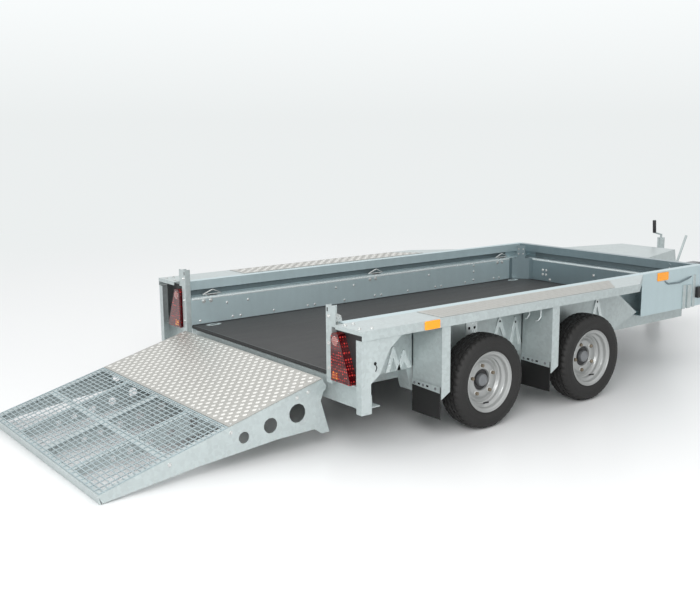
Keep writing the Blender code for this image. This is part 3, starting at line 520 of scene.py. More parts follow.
    def _floor_film(self) -> None:
        """Make the film-faced board: near black, with a fine pressed mesh and faint scuffs along it."""
        tree, shader = self._start(Look.FLOOR_FILM)
        place = tree.place()
        along = tree.add("ShaderNodeMapping", {"Vector": place, "Scale": (6.0, 0.8, 1.0)}).outputs[0]
        scuff = tree.noise(along, 3.0, 6.0, 0.65)
        cloud = tree.noise(place, 1.6, 3.0)
        speck = tree.noise(place, 150.0, 3.0)
        pressed = tree.add("ShaderNodeTexVoronoi", {"Vector": place, "Scale": 170.0},
                           feature="DISTANCE_TO_EDGE").outputs["Distance"]
        factor = tree.product(tree.swing(scuff, 0.35), tree.swing(cloud, 0.35), tree.swing(speck, 0.8))
        tree.feed(shader, {"Base Color": tree.scaled((0.046, 0.047, 0.047), factor),
                           "Roughness": tree.product(tree.swing(scuff, 0.4), 0.60),
                           "Specular IOR Level": 0.28, "Normal": tree.bump(pressed, 0.6, 0.001)})


class Pen:
    """Gathers many small forms into one mesh and turns it into a piece of the trailer."""

    def __init__(self, finish: Materials) -> None:
        """Start an empty mesh.

        Args:
            finish: all materials.
        """
        self.mesh = bmesh.new()
        self.finish = finish
        self.looks: list[Look] = []
        self.slot = 0

    def paint(self, look: Look) -> Pen:
        """Choose the material for what comes next.

        Args:
            look: the material.

        Returns:
            The pen itself.
        """
        if look not in self.looks:
            self.looks.append(look)
        self.slot = self.looks.index(look)
        return self

    def skin(self, rings: Sequence[Sequence[Vector]], closed: bool, caps: bool) -> None:
        """Skin rings of points.

        Args:
            rings: rows of equal length.
            closed: whether the last ring joins the first.
            caps: whether the ends are closed.
        """
        rows = [[self.mesh.verts.new(p) for p in ring] for ring in rings]
        pairs = list(zip(rows, rows[1:]))
        if closed:
            pairs.append((rows[-1], rows[0]))
        for one, two in pairs:
            count = len(one)
            for i in range(count):
                j = (i + 1) % count
                face = self.mesh.faces.new((one[i], one[j], two[j], two[i]))
                face.material_index = self.slot
        if caps and not closed:
            for row in (rows[0][::-1], rows[-1]):
                self.mesh.faces.new(row).material_index = self.slot

    def prism(self, outline: Sequence[Vector], along: Vector) -> Pen:
        """Extrude a flat outline of corners in space, and give the pen itself."""
        self.skin([outline, [p + along for p in outline]], False, True)
        return self

    def box(self, low: Vector, high: Vector) -> Pen:
        """Add a square block between its lowest and highest corners, and give the pen itself."""
        corners = ((low.x, low.y), (high.x, low.y), (high.x, high.y), (low.x, high.y))
        return self.prism([Vector((x, y, low.z)) for x, y in corners], UP * (high.z - low.z))

    def block(self, side: int, x: Pair, y: Pair, z: Pair) -> Pen:
        """Add a square block on one side of the trailer.

        Args:
            side: sign of the side.
            x: its two distances out from the middle plane.
            y: its rear and front, from the bed's rear edge.
            z: its bottom and top.

        Returns:
            The pen itself.
        """
        left, right = sorted((side * x[0], side * x[1]))
        return self.box(bed(left, y[0], z[0]), bed(right, y[1], z[1]))

    def plate(self, side: int, x: float, outline: Table, thick: float) -> Pen:
        """Add a plate that faces out to one side.

        Args:
            side: sign of the side.
            x: how far out its inner face stands.
            outline: its corners, as places along the bed and heights.
            thick: its thickness.

        Returns:
            The pen itself.
        """
        return self.prism([bed(side * x, y, z) for y, z in outline], outward(side) * thick)

    def panel(self, side: int, y: float, outline: Table, thick: float) -> Pen:
        """Add a plate that faces back.

        Args:
            side: sign of the side.
            y: place of its front face along the bed.
            outline: its corners, as distances out and heights.
            thick: its thickness.

        Returns:
            The pen itself.
        """
        return self.prism([bed(side * x, y, z) for x, z in outline], BACK * thick)

    def oval(self, place: Vector, half: Pair, thick: float, steps: int) -> Pen:
        """Add a level oval plate.

        Args:
            place: middle of its underside.
            half: half its width and half its length.
            thick: its thickness.
            steps: number of steps round.

        Returns:
            The pen itself.
        """
        turns = [2 * pi * k / steps for k in range(steps)]
        outline = [place + Vector((half[0] * cos(t), half[1] * sin(t), 0)) for t in turns]
        return self.prism(outline, UP * thick)

    def lathe(self, centre: Vector, axis: Vector, profile: Table, steps: int, closed: bool = False) -> Pen:
        """Revolve a profile.

        Args:
            centre: a point on the axis.
            axis: direction of the axis.
            profile: points as a radius and a distance along the axis.
            steps: number of steps round.
            closed: whether the profile joins itself; otherwise its ends are capped.

        Returns:
            The pen itself.
        """
        axis = axis.normalized()
        right = axis.orthogonal().normalized()
        up = axis.cross(right)
        ways = [right * cos(2 * pi * i / steps) + up * sin(2 * pi * i / steps) for i in range(steps)]
        self.skin([[centre + axis * a + way * r for way in ways] for r, a in profile], closed, not closed)
        return self

    def tube(self, path: Sequence[Vector], radius: float, sides: int = 10) -> Pen:
        """Sweep a round bar along a path.

        Args:
            path: points of its middle line.
            radius: its radius.
            sides: number of sides.

        Returns:
            The pen itself.
        """
        turns = [2 * pi * k / sides for k in range(sides)]
        rings = []
        normal = None
        for i, point in enumerate(path):
            before = point - path[i - 1] if i else path[1] - point
            after = path[i + 1] - point if i + 1 < len(path) else before
            way = (before.normalized() + after.normalized()).normalized()
            if normal is None:
                normal = way.orthogonal().normalized()
            normal = (normal - way * normal.dot(way)).normalized()
            other = way.cross(normal)
            rings.append([point + (normal * cos(t) + other * sin(t)) * radius for t in turns])
        self.skin(rings, False, True)
        return self

    def bolt(self, place: Vector, out: Vector, size: float) -> Pen:
        """Add a hexagon bolt head on its washer.

        Args:
            place: where its axis meets the surface.
            out: direction that it points.
            size: width across the flats.

        Returns:
            The pen itself.
        """
        radius = size / sqrt(3)
        sink = 0.0004
        washer = ((size * 0.92, -sink), (size * 0.92, size * 0.10), (size * 0.88, size * 0.13))
        head = ((radius, -sink), (radius, size * 0.55), (radius * 0.86, size * 0.66))
        return self.lathe(place, out, washer, 16).lathe(place, out, head, 6)

    def rivet(self, place: Vector, out: Vector, radius: float) -> Pen:
        """Add a domed rivet head.

        Args:
            place: where its axis meets the surface.
            out: direction that it points.
            radius: its radius.

        Returns:
            The pen itself.
        """
        dome = ((radius, -SEAT), (radius * 0.9, radius * 0.3), (radius * 0.5, radius * 0.55))
        return self.lathe(place, out, dome, 12)

    def disc(self, place: Vector, out: Vector, radius: float, rise: float = 0.0008,
             sink: float = 0.0004) -> Pen:
        """Add a thin disc that stands for a round hole; the callers draw it near black as the hole's painted
        shade.

        Args:
            place: where its axis meets the surface.
            out: direction that it faces.
            radius: its radius.
            rise: how far it stands proud.
            sink: how far it is let in.

        Returns:
            The pen itself.
        """
        return self.lathe(place, out, ((radius, -sink), (radius, rise)), 16)

    def done(self, name: str, slot: Slot, body: str = "chassis", angle: float = SMOOTH,
             move: Matrix | None = None, bevel: float = 0.0) -> bpy.types.Object:
        """Turn what was drawn into an object that rides on a body.

        Args:
            name: name of the piece.
            slot: the material slot named for the piece; not used.
            body: name of the body that it moves with.
            angle: sharpest angle, in degrees, that is shaded smooth.
            move: transform of the mesh, if any.
            bevel: width of the edge rounding, or nought for none.

        Returns:
            The object.
        """
        bmesh.ops.recalc_face_normals(self.mesh, faces=self.mesh.faces)
        data = bpy.data.meshes.new(name)
        self.mesh.to_mesh(data)
        self.mesh.free()
        if move is not None:
            data.transform(move)
        for look in self.looks:
            data.materials.append(self.finish[look])
        data.shade_smooth()
        data.set_sharp_from_angle(angle=radians(angle))
        piece = bpy.data.objects.new(name, data)
        bpy.context.collection.objects.link(piece)
        if bevel:
            round_edges(piece, bevel, 2, 40)
        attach(piece, body)
        LOG.info("%s rides on %s", name, body)
        return piece


def round_edges(piece: bpy.types.Object, width: float, segments: int, angle: float) -> None:
    """Round the sharp edges of a piece.

    Args:
        piece: the piece or node.
        width: width of the rounding.
        segments: facets across it.
        angle: least angle, in degrees, of an edge that is rounded.
    """
    edge = piece.modifiers.new("edge", "BEVEL")
    edge.width = width
    edge.segments = segments
    edge.limit_method = "ANGLE"
    edge.angle_limit = radians(angle)


@dataclass(frozen=True)
class TreadField:
    """A rectangle of raised bars on a treadplate.

    Args:
        low: its lowest corner in the plate's own plane.
        high: its highest corner.
        pitch: distance from one mark to the next.
        bars: bars in each mark, one for the diamond pattern and more for the chequered one.
        height: height of the bars.
        rim: foot of a bar, in half lengths and half widths.
        faces: faces of a bar, with corners 0 to 5 at its foot and 6 and 7 on its crest.
    """

    low: Pair
    high: Pair
    pitch: float
    bars: int
    height: float
    rim: Table = ((-1, 0), (-0.55, -1), (0.55, -1), (1, 0), (0.55, 1), (-0.55, 1))
    faces: tuple[tuple[int, ...], ...] = ((0, 1, 6), (1, 2, 7, 6), (2, 3, 7), (3, 4, 7), (4, 5, 6, 7),
                                          (5, 0, 6))

    def draw(self, pen: Pen, top: float, looks: tuple[Look, Look],
             inside: Callable[[float, float], bool] = lambda x, y: True) -> None:
        """Draw the marks, every other one turned by a quarter.

        Args:
            pen: the pen to draw with.
            top: height of the plate's face.
            looks: materials of the marks that face the light, where a bright one is painted highlight, and of
                those that are turned.
            inside: tells whether a mark's middle lies on the plate.
        """
        columns, rows = (int((high - low) / self.pitch) for low, high in zip(self.low, self.high))
        x0 = (self.low[0] + self.high[0] - columns * self.pitch) / 2
        y0 = (self.low[1] + self.high[1] - rows * self.pitch) / 2
        for i in range(columns):
            for j in range(rows):
                middle = Vector((x0 + (i + 0.5) * self.pitch, y0 + (j + 0.5) * self.pitch))
                if inside(middle.x, middle.y):
                    odd = (i + j) % 2
                    self.mark(pen.paint(looks[odd]), middle, odd, top)

    def mark(self, pen: Pen, middle: Vector, odd: int, top: float) -> None:
        """Draw the bars of one mark.

        Args:
            pen: the pen, painted for the mark.
            middle: its middle in the plate's plane.
            odd: one where it is turned by a quarter, and nought elsewhere.
            top: height of the plate's face.
        """
        single = self.bars == 1
        half = self.pitch * (0.47 if single else 0.42)
        width = self.pitch * (0.40 if single else 0.075)
        turn = (pi / 4 if single else 0.0) + odd * pi / 2
        way = Vector((cos(turn), sin(turn)))
        across = Vector((-way.y, way.x))
        for k in range(self.bars):
            centre = middle + across * ((k - (self.bars - 1) / 2) * self.pitch * 0.185)
            foot = [centre + way * (half * a) + across * (width * b) for a, b in self.rim]
            crest = [centre + way * (half * 0.6 * a) for a in (-1, 1)]
            points = [(p.x, p.y, top - 0.0002) for p in foot] + [(p.x, p.y, top + self.height) for p in crest]
            corners = [pen.mesh.verts.new(p) for p in points]
            for face in self.faces:
                pen.mesh.faces.new([corners[n] for n in face]).material_index = pen.slot


@dataclass
class Dresser:
    """Base of the classes that dress one region of the trailer.

    Args:
        finish: all materials.
    """

    finish: Materials

    def pen(self, look: Look) -> Pen:
        """Start a pen with its first material."""
        return Pen(self.finish).paint(look)


@dataclass
class RampDresser(Dresser):
    """Treadplate, mesh and fastenings of the ramp, drawn level and then turned to its slope.

    Args:
        lenses: the plate's raised lenses.
        mesh_half: half the mesh's width.
        mesh_ends: gaps from the mesh to the plate and to the ramp's toe.
        mesh_gaps: spaces across the mesh and along it.
        mesh_inset: how far the outer rods' middles lie inside its edge.
        rods_along: half width, bottom and top of the rods along the ramp, from its face.
        rods_across: the same of the rods across it.
        plate_rivets: distances of the plate's side rivets from the hinge.
        plate_rivet_x: their distance out.
        end_rivets: places of the rivets across the plate's lower end.
        end_rivet_y: their distance from the hinge.
        side_bolts: distances of the frame's side bolts from the hinge.
        side_bolt_z: their height in the ramp's own frame.
    """

    lenses: TreadField = TreadField((-0.734, -0.556), (0.734, 0.008), 0.0288, 1, 0.0013)
    mesh_half: float = 0.738
    mesh_ends: Pair = (0.004, 0.012)
    mesh_gaps: tuple[int, int] = (27, 25)
    mesh_inset: float = 0.004
    rods_along: Triple = (0.0034, -0.0036, -0.0003)
    rods_across: Triple = (0.0026, -0.0030, 0.0)
    plate_rivets: Places = (0.02, 0.19, 0.37, 0.54)
    plate_rivet_x: float = 0.722
    end_rivets: Places = (-0.36, 0.0, 0.36)
    end_rivet_y: float = 0.545
    side_bolts: Places = (0.09, 0.16, 0.56, 0.90)
    side_bolt_z: float = 0.012

    def dress(self) -> None:
        """Add everything on the ramp."""
        pen = self.pen(Look.TREAD_HIGHLIGHT)
        # The marks that face the light take the bright aluminium, painted highlight
        self.lenses.draw(pen, RAMP_RISE, (Look.TREAD_HIGHLIGHT, Look.RAMP_ALUMINIUM))
        pen.done("ramp_tread_marks", Slot.ALUMINIUM, "ramp", ROUNDED, RAMP_FRAME)
        self.grid()
        self.trim()

    def grid(self) -> None:
        """Square welded mesh that stands for the coarse grid of the solids."""
        pen = self.pen(Look.ZINC_MESH)
        half, inset = self.mesh_half, self.mesh_inset
        low, high = self.mesh_ends[1] - RAMP_LENGTH, -RAMP_PLATE_END - self.mesh_ends[0]
        columns, rows = self.mesh_gaps
        rod, bottom, top = self.rods_along
        for i in range(columns + 1):
            x = min(max(i * 2 * half / columns - half, inset - half), half - inset)
            pen.box(Vector((x - rod, low, RAMP_RISE + bottom)), Vector((x + rod, high, RAMP_RISE + top)))
        rod, bottom, top = self.rods_across
        for j in range(rows + 1):
            y = min(max(low + j * (high - low) / rows, low + inset), high - inset)
            pen.box(Vector((-half, y - rod, RAMP_RISE + bottom)), Vector((half, y + rod, RAMP_RISE + top)))
        piece = pen.done("ramp_mesh_fine", Slot.GALVANISED, "ramp", CRISP, RAMP_FRAME)
        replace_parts(piece, "ramp_mesh")

    def trim(self) -> None:
        """Rivets along the plate's edges and bolts on the ramp's sides."""
        pen = self.pen(Look.BOLT_ZINC)
        for side in SIDES.values():
            for along in self.plate_rivets:
                pen.rivet(Vector((side * self.plate_rivet_x, -along, RAMP_RISE)), UP, 0.007)
            for along in self.side_bolts:
                pen.bolt(Vector((side * RAMP_HALF, -along, self.side_bolt_z)), outward(side), 0.011)
        for x in self.end_rivets:
            pen.rivet(Vector((x, -self.end_rivet_y, RAMP_RISE)), UP, 0.006)
        pen.done("ramp_fixings", Slot.GALVANISED, "ramp", CRISP, RAMP_FRAME)


@dataclass
class WheelDresser(Dresser):
    """Tyres with tread, dished rims, hubs, studs and valves.

    Each profile is a row of points, as a radius and a distance out from the wheel's middle.

    Args:
        front_turn: how far the front wheels have rolled on from the rear ones, in radians.
        stud_circle: radius of the circle of studs.
        first_stud: angle of the first of the five studs.
        stud_face: distance out of the face that they stand on.
        stud_seat: a stud's cone seat, from that face.
        nut: its nut.
        valve: points of the valve's stem.
        steps: steps round the tyre.
        skew: how far the cuts lean round the tyre, in radians for each metre across it.
        sidewall: the tyre from its bead to its shoulder.
        tread: the tyre from its shoulder to its middle rib, with two of its four grooves.
        cuts: rows of cuts in the tread, by columns least radius, least and greatest distance from the
            middle, steps between cuts, first step and depth.
        face: the rim's outer face, from the hub to the flange.
        back: its inner face with the drum, from the flange to the hub.
        bore_shade_ring: the ring round the hub, near black as painted shade in the rim's deep bore.
        hub: the hub.
    """

    front_turn: float = 0.35
    stud_circle: float = 0.08255
    first_stud: float = 0.38
    stud_face: float = 0.0022
    stud_seat: Table = ((0.0150, -0.001), (0.0150, 0.002), (0.0125, 0.004))
    nut: Table = ((0.0110, 0.001), (0.0110, 0.013), (0.0092, 0.0155))
    valve: Table = ((0.018, 0.0, -0.1300), (0.030, 0.0, -0.1240), (0.054, 0.0, -0.1160))
    steps: int = 168
    skew: float = 1.2
    sidewall: Table = (
        (0.1540, 0.0510), (0.1590, 0.0585), (0.1660, 0.0620), (0.1700, 0.0630), (0.1712, 0.0655),
        (0.1745, 0.0665), (0.1762, 0.0655), (0.1850, 0.0710), (0.1990, 0.0770), (0.2090, 0.0785),
        (0.2105, 0.0775), (0.2120, 0.0785), (0.2290, 0.0765), (0.2315, 0.0750), (0.2330, 0.0755),
        (0.2440, 0.0700), (0.2510, 0.0650))
    tread: Table = (
        (0.2555, 0.0600), (0.2585, 0.0520), (0.2600, 0.0440), (0.2530, 0.0430), (0.2530, 0.0370),
        (0.2608, 0.0360), (0.2616, 0.0180), (0.2540, 0.0170), (0.2540, 0.0110), (0.2619, 0.0100))
    cuts: Table = ((0.2505, 0.0430, 1.0, 4, 0, 0.0060), (0.2545, 0.0170, 0.0370, 4, 2, 0.0050),
                   (0.2545, -1.0, 0.0105, 8, 5, 0.0040))
    face: Table = (
        (0.0580, -0.0130), (0.0590, -0.0030), (0.0620, 0.0010), (0.0940, 0.0030), (0.0985, 0.0015),
        (0.1030, -0.0030), (0.1120, -0.0060), (0.1180, -0.0050), (0.1215, 0.0005), (0.1245, 0.0080),
        (0.1275, 0.0105), (0.1300, 0.0115), (0.1305, 0.0200), (0.1320, 0.0245), (0.1400, 0.0300),
        (0.1455, 0.0330), (0.1478, 0.0370), (0.1485, 0.0500), (0.1500, 0.0545), (0.1560, 0.0590),
        (0.1618, 0.0612), (0.1635, 0.0650), (0.1665, 0.0668), (0.1692, 0.0660), (0.1705, 0.0635),
        (0.1700, 0.0600))
    back: Table = (
        (0.1610, 0.0565), (0.1528, 0.0520), (0.1526, 0.0360), (0.1350, 0.0220), (0.1345, -0.0100),
        (0.1526, -0.0260), (0.1526, -0.0560), (0.1610, -0.0580), (0.1700, -0.0620), (0.1690, -0.0665),
        (0.1640, -0.0660), (0.1485, -0.0560), (0.1485, -0.0270), (0.1305, -0.0120), (0.1080, -0.0175),
        (0.1080, -0.0885), (0.0300, -0.0885), (0.0300, -0.0130))
    bore_shade_ring: Table = ((0.0578, -0.0135), (0.0578, -0.0110), (0.0330, -0.0110), (0.0330, -0.0135))
    hub: Table = ((0.0345, -0.0130), (0.0345, 0.0080), (0.0325, 0.0130), (0.0250, 0.0155), (0.0240, 0.0140),
                  (0.0060, 0.0140))

    def dress(self) -> None:
        """Add all four wheels, each drawn about its own middle with +X outward."""
        for axle, place in AXLES.items():
            for side, sign in SIDES.items():
                name = f"{axle}_{side}"
                turn = Matrix.Rotation(0.0 if sign > 0 else pi, 4, "Z")
                roll = Matrix.Rotation(self.front_turn if axle == "front" else 0.0, 4, "X")
                move = Matrix.Translation(bed(sign * WHEEL_X, place, WHEEL_RADIUS)) @ turn @ roll
                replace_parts(self.tyre(name, move), f"wheel_tyre_{name}")
                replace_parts(self.rim(name, move), f"wheel_rim_{name}")
                self.studs(name, move)

    def cut_depth(self, radius: float, across: float, step: int) -> float:
        """Give how deep the tread is cut at a point of the profile.

        Args:
            radius: the point's radius.
            across: its distance out from the middle.
            step: number of the step round the tyre.

        Returns:
            The depth in metres.
        """
        for least, near, far, every, first, depth in self.cuts:
            if radius > least and near < abs(across) < far and step % every == first:
                return depth
        return 0.0

    def tyre(self, name: str, move: Matrix) -> bpy.types.Object:
        """Draw a tyre with moulded rings, four grooves and cut shoulders.

        Args:
            name: axle and side.
            move: where it goes.

        Returns:
            The piece.
        """
        half = self.sidewall + self.tread
        profile = half + ((WHEEL_RADIUS - 0.0001, 0.0),) + tuple((r, -a) for r, a in half[::-1])
        pen = self.pen(Look.TYRE_RUBBER)
        rings = []
        for i in range(self.steps):
            ring = []
            for r, a in profile:
                angle = 2 * pi * i / self.steps + a * self.skew
                radius = r - self.cut_depth(r, a, i)
                ring.append(Vector((a, radius * cos(angle), radius * sin(angle))))
            rings.append(ring)
        pen.skin(rings, True, False)
        return pen.done(f"tyre_{name}", Slot.TYRE, f"wheel_{name}", 38, move)

    def rim(self, name: str, move: Matrix) -> bpy.types.Object:
        """Draw a deep dished steel rim with its drum.

        Args:
            name: axle and side.
            move: where it goes.

        Returns:
            The piece.
        """
        pen = self.pen(Look.WHEEL_PAINT).lathe(Vector(), OUTWARD, self.face + self.back, 72, True)
        # Near-black ring round the hub: painted shade in the rim's deep bore
        pen.paint(Look.BLACK_PLASTIC).lathe(Vector(), OUTWARD, self.bore_shade_ring, 36, True)
        pen.paint(Look.CAST_ZINC).lathe(Vector(), OUTWARD, self.hub, 36)
        return pen.done(f"rim_{name}", Slot.WHEEL, f"wheel_{name}", 34, move)

    def studs(self, name: str, move: Matrix) -> None:
        """Add five wheel bolts with cone seats, and the valve.

        Args:
            name: axle and side.
            move: where they go.
        """
        pen = self.pen(Look.BOLT_ZINC)
        for k in range(5):
            angle = 2 * pi * k / 5 + self.first_stud
            place = Vector((self.stud_face, self.stud_circle * cos(angle), self.stud_circle * sin(angle)))
            pen.paint(Look.BOLT_ZINC).lathe(place, OUTWARD, self.stud_seat, 20)
            pen.paint(Look.WHEEL_BOLT).lathe(place, OUTWARD, self.nut, 6)
        pen.paint(Look.BLACK_PLASTIC).tube([Vector(p) for p in self.valve], 0.0045)
        pen.done(f"studs_{name}", Slot.WHEEL, f"wheel_{name}", 34, move)


@dataclass
class BedDresser(Dresser):
    """Bolts, lashing rings, folds, lashing plates and strips inside the bed.

    Args:
        rings: places of the lashing rings along each side.
        ring_path: a ring's bar, by columns distance out, along from the ring's middle and over the ledge.
        ring_bar: radius of that bar.
        ring_bolts: places of a ring's two bolts, along from its middle.
        ring_bolt_z: their height.
        slot_x: nearest and furthest distance out of the slots in the ledges.
        slot_y: their ends, along from the ring's middle.
        wall_rivets: rows of rivets, by columns height, radius and places along the bed.
        head_bolts: distances out and heights of the headboard's paired bolts.
        middle_bolt_z: height of its middle bolt.
        gusset_inset: how far the middle of a corner gusset lies inside both walls' faces.
        gusset_rivets: heights of the gussets' rivets, and their distance from the gusset's middle.
        fold: section of the ledges' rounded fold, as distances out from the panel's face and up.
        fold_top: height of its top over the ledge.
        head_half: half the length of the headboard's fold and groove.
        groove_back: nearest and furthest distance out of the back of the rope groove, which is darkened as
            painted shade.
        groove_z: its bottom and top.
        lashing_plates: places of the lashing plates along the bed.
        lashing_x: their distance out.
        side_strip: distances out of the floor's side strips.
        strip_z: bottom and top of the strips.
    """

    rings: Places = (0.17, 1.535, 2.86)
    ring_path: Table = ((0.785, -0.068, 0.009), (0.785, -0.006, 0.033), (0.785, 0.008, 0.035),
                        (0.785, 0.068, 0.011), (0.792, 0.030, 0.0065), (0.792, -0.030, 0.0065),
                        (0.785, -0.068, 0.009))
    ring_bar: float = 0.0044
    ring_bolts: Pair = (-0.080, -0.028)
    ring_bolt_z: float = 0.544
    slot_x: Pair = (0.772, 0.806)
    slot_y: Pair = (-0.034, 0.040)
    wall_rivets: tuple[tuple[float, float, Places], ...] = (
        (0.516, 0.009, (0.26, 0.42, 1.146, 1.305, 2.031)),
        (0.419, 0.0085, (0.06, 0.30, 0.36, 0.62, 0.90, 0.96, 1.22, 1.50, 1.56, 1.82, 2.10, 2.16, 2.42, 2.74,
                         2.80)),
        (0.431, 0.009, (2.510,)), (0.497, 0.009, (2.510,)), (0.544, 0.009, (2.510,)))
    head_bolts: Table = ((0.505, 0.485), (0.470, 0.485), (0.505, 0.450), (0.470, 0.450), (0.430, 0.414),
                         (0.12, 0.414))
    middle_bolt_z: float = 0.500
    gusset_inset: float = 0.0525
    gusset_rivets: tuple[Pair, float] = ((0.640, 0.602), 0.018)
    fold: Table = ((-0.0006, -0.0150), (-0.0012, -0.0060), (0.0010, 0.0002), (0.0140, 0.0006),
                   (0.0140, -0.0016), (0.0004, -0.0130))
    fold_top: float = 0.0014
    head_half: float = 0.660
    groove_back: Pair = (GROOVE_BACK - 0.0028, GROOVE_BACK - 0.0012)
    groove_z: Pair = (0.574, 0.613)
    lashing_plates: Places = (0.124, 2.900)
    lashing_x: float = 0.690
    side_strip: Pair = (0.7350, 0.7488)
    strip_z: Pair = (FLOOR_TOP - 0.0005, FLOOR_TOP + 0.0035)

    def dress(self) -> None:
        """Add everything inside the bed."""
        self.fixings()
        self.gussets()
        self.tie_bars()
        self.folds()
        self.floor()

    def fixings(self) -> None:
        """Bolt and rivet heads on the walls and the headboard."""
        pen = self.pen(Look.BOLT_ZINC)
        for side in SIDES.values():
            into = outward(-side)
            for z, radius, places in self.wall_rivets:
                for y in places:
                    pen.rivet(bed(side * PANEL_FACE, y, z), into, radius)
            for y in self.rings:
                for along in self.ring_bolts:
                    pen.bolt(bed(side * PANEL_FACE, y + along, self.ring_bolt_z), into, 0.015)
            for x, z in self.head_bolts:
                pen.bolt(bed(side * x, BED_LENGTH, z), BACK, 0.012)
        pen.bolt(bed(0.0, BED_LENGTH, self.middle_bolt_z), BACK, 0.012)
        pen.done("bed_fixings", Slot.GALVANISED)

    def gussets(self) -> None:
        """Four rivets on each corner gusset, which faces the middle of the bed."""
        pen = self.pen(Look.BOLT_ZINC)
        heights, reach = self.gusset_rivets
        for side in SIDES.values():
            lean = Vector((-side, -1, 0)).normalized()
            across = Vector((-side, 1, 0)).normalized()
            for z in heights:
                middle = bed(side * (PANEL_FACE - self.gusset_inset), BED_LENGTH - self.gusset_inset, z)
                for offset in (-reach, reach):
                    pen.rivet(middle + across * offset + lean * 0.0012, lean, 0.006)
        pen.done("gusset_rivets", Slot.GALVANISED)

    def tie_bars(self) -> None:
        """Three-cornered lashing rings of round bar, three along each side, over their slots, which are
        near-black blocks of painted shade.
        """
        bars, slots = self.pen(Look.BOLT_ZINC), self.pen(Look.HOLE_SHADE)
        slot_z = (LEDGE_Z + 0.0010, LEDGE_Z + 0.0022)
        for side in SIDES.values():
            for y in self.rings:
                path = [bed(side * x, y + along, LEDGE_Z + up) for x, along, up in self.ring_path]
                bars.tube(path, self.ring_bar)
                slots.block(side, self.slot_x, (y + self.slot_y[0], y + self.slot_y[1]), slot_z)
        bars.done("tie_bars", Slot.GALVANISED, angle=50)
        slots.done("lashing_slots", Slot.GALVANISED)

    def folds(self) -> None:
        """Folds along the ledges in a bright zinc that is painted highlight, and the back of the rope groove
        in a dark zinc that is painted shade.
        """
        pen = self.pen(Look.ZINC_HIGHLIGHT)
        top = LEDGE_Z + self.fold_top
        for side in SIDES.values():
            corners = [bed(side * (PANEL_FACE + x), 0.004, top + z) for x, z in self.fold]
            pen.prism(corners, Vector((0, 2.956, 0)))
        corners = [bed(-self.head_half, BED_LENGTH + x, top + z) for x, z in self.fold]
        pen.prism(corners, Vector((2 * self.head_half, 0, 0)))
        # The back of the rope groove is darkened zinc, painted shade
        pen.paint(Look.ZINC_GROOVE_SHADE)
        for side in SIDES.values():
            pen.block(side, self.groove_back, (0.006, 2.960), self.groove_z)
        rear, front = (BED_LENGTH - PANEL_FACE + back for back in self.groove_back)
        pen.block(1, (-self.head_half, self.head_half), (rear, front), self.groove_z)
        pen.done("wall_folds", Slot.GALVANISED, angle=CRISP)

    def floor(self) -> None:
        """Bright lashing plates let into the corners, with near-black ovals of painted shade for their holes,
        and the dark strips round the board.
        """
        pen = self.pen(Look.ZINC)
        # Columns: material, half width and half length, underside over the floor, thickness, steps round
        for look, half, over, thick, steps in ((Look.ZINC, (0.026, 0.052), -0.0005, 0.003, 24),
                                               (Look.HOLE_SHADE, (0.009, 0.026), 0.0024, 0.0006, 20)):
            pen.paint(look)
            for side in SIDES.values():
                for y in self.lashing_plates:
                    pen.oval(bed(side * self.lashing_x, y, FLOOR_TOP + over), half, thick, steps)
        pen.done("lashing_plates", Slot.GALVANISED)

        pen = self.pen(Look.BLACK_PLASTIC)
        low, high = self.strip_z
        for side in SIDES.values():
            pen.block(side, self.side_strip, (0.004, 2.915), self.strip_z)
        pen.block(1, (-0.615, 0.615), (3.035, 3.0485), self.strip_z)
        pen.block(1, (-0.734, 0.734), (0.0004, 0.012), (low, high - 0.002))
        pen.done("floor_edge_strips", Slot.PHENOLIC)


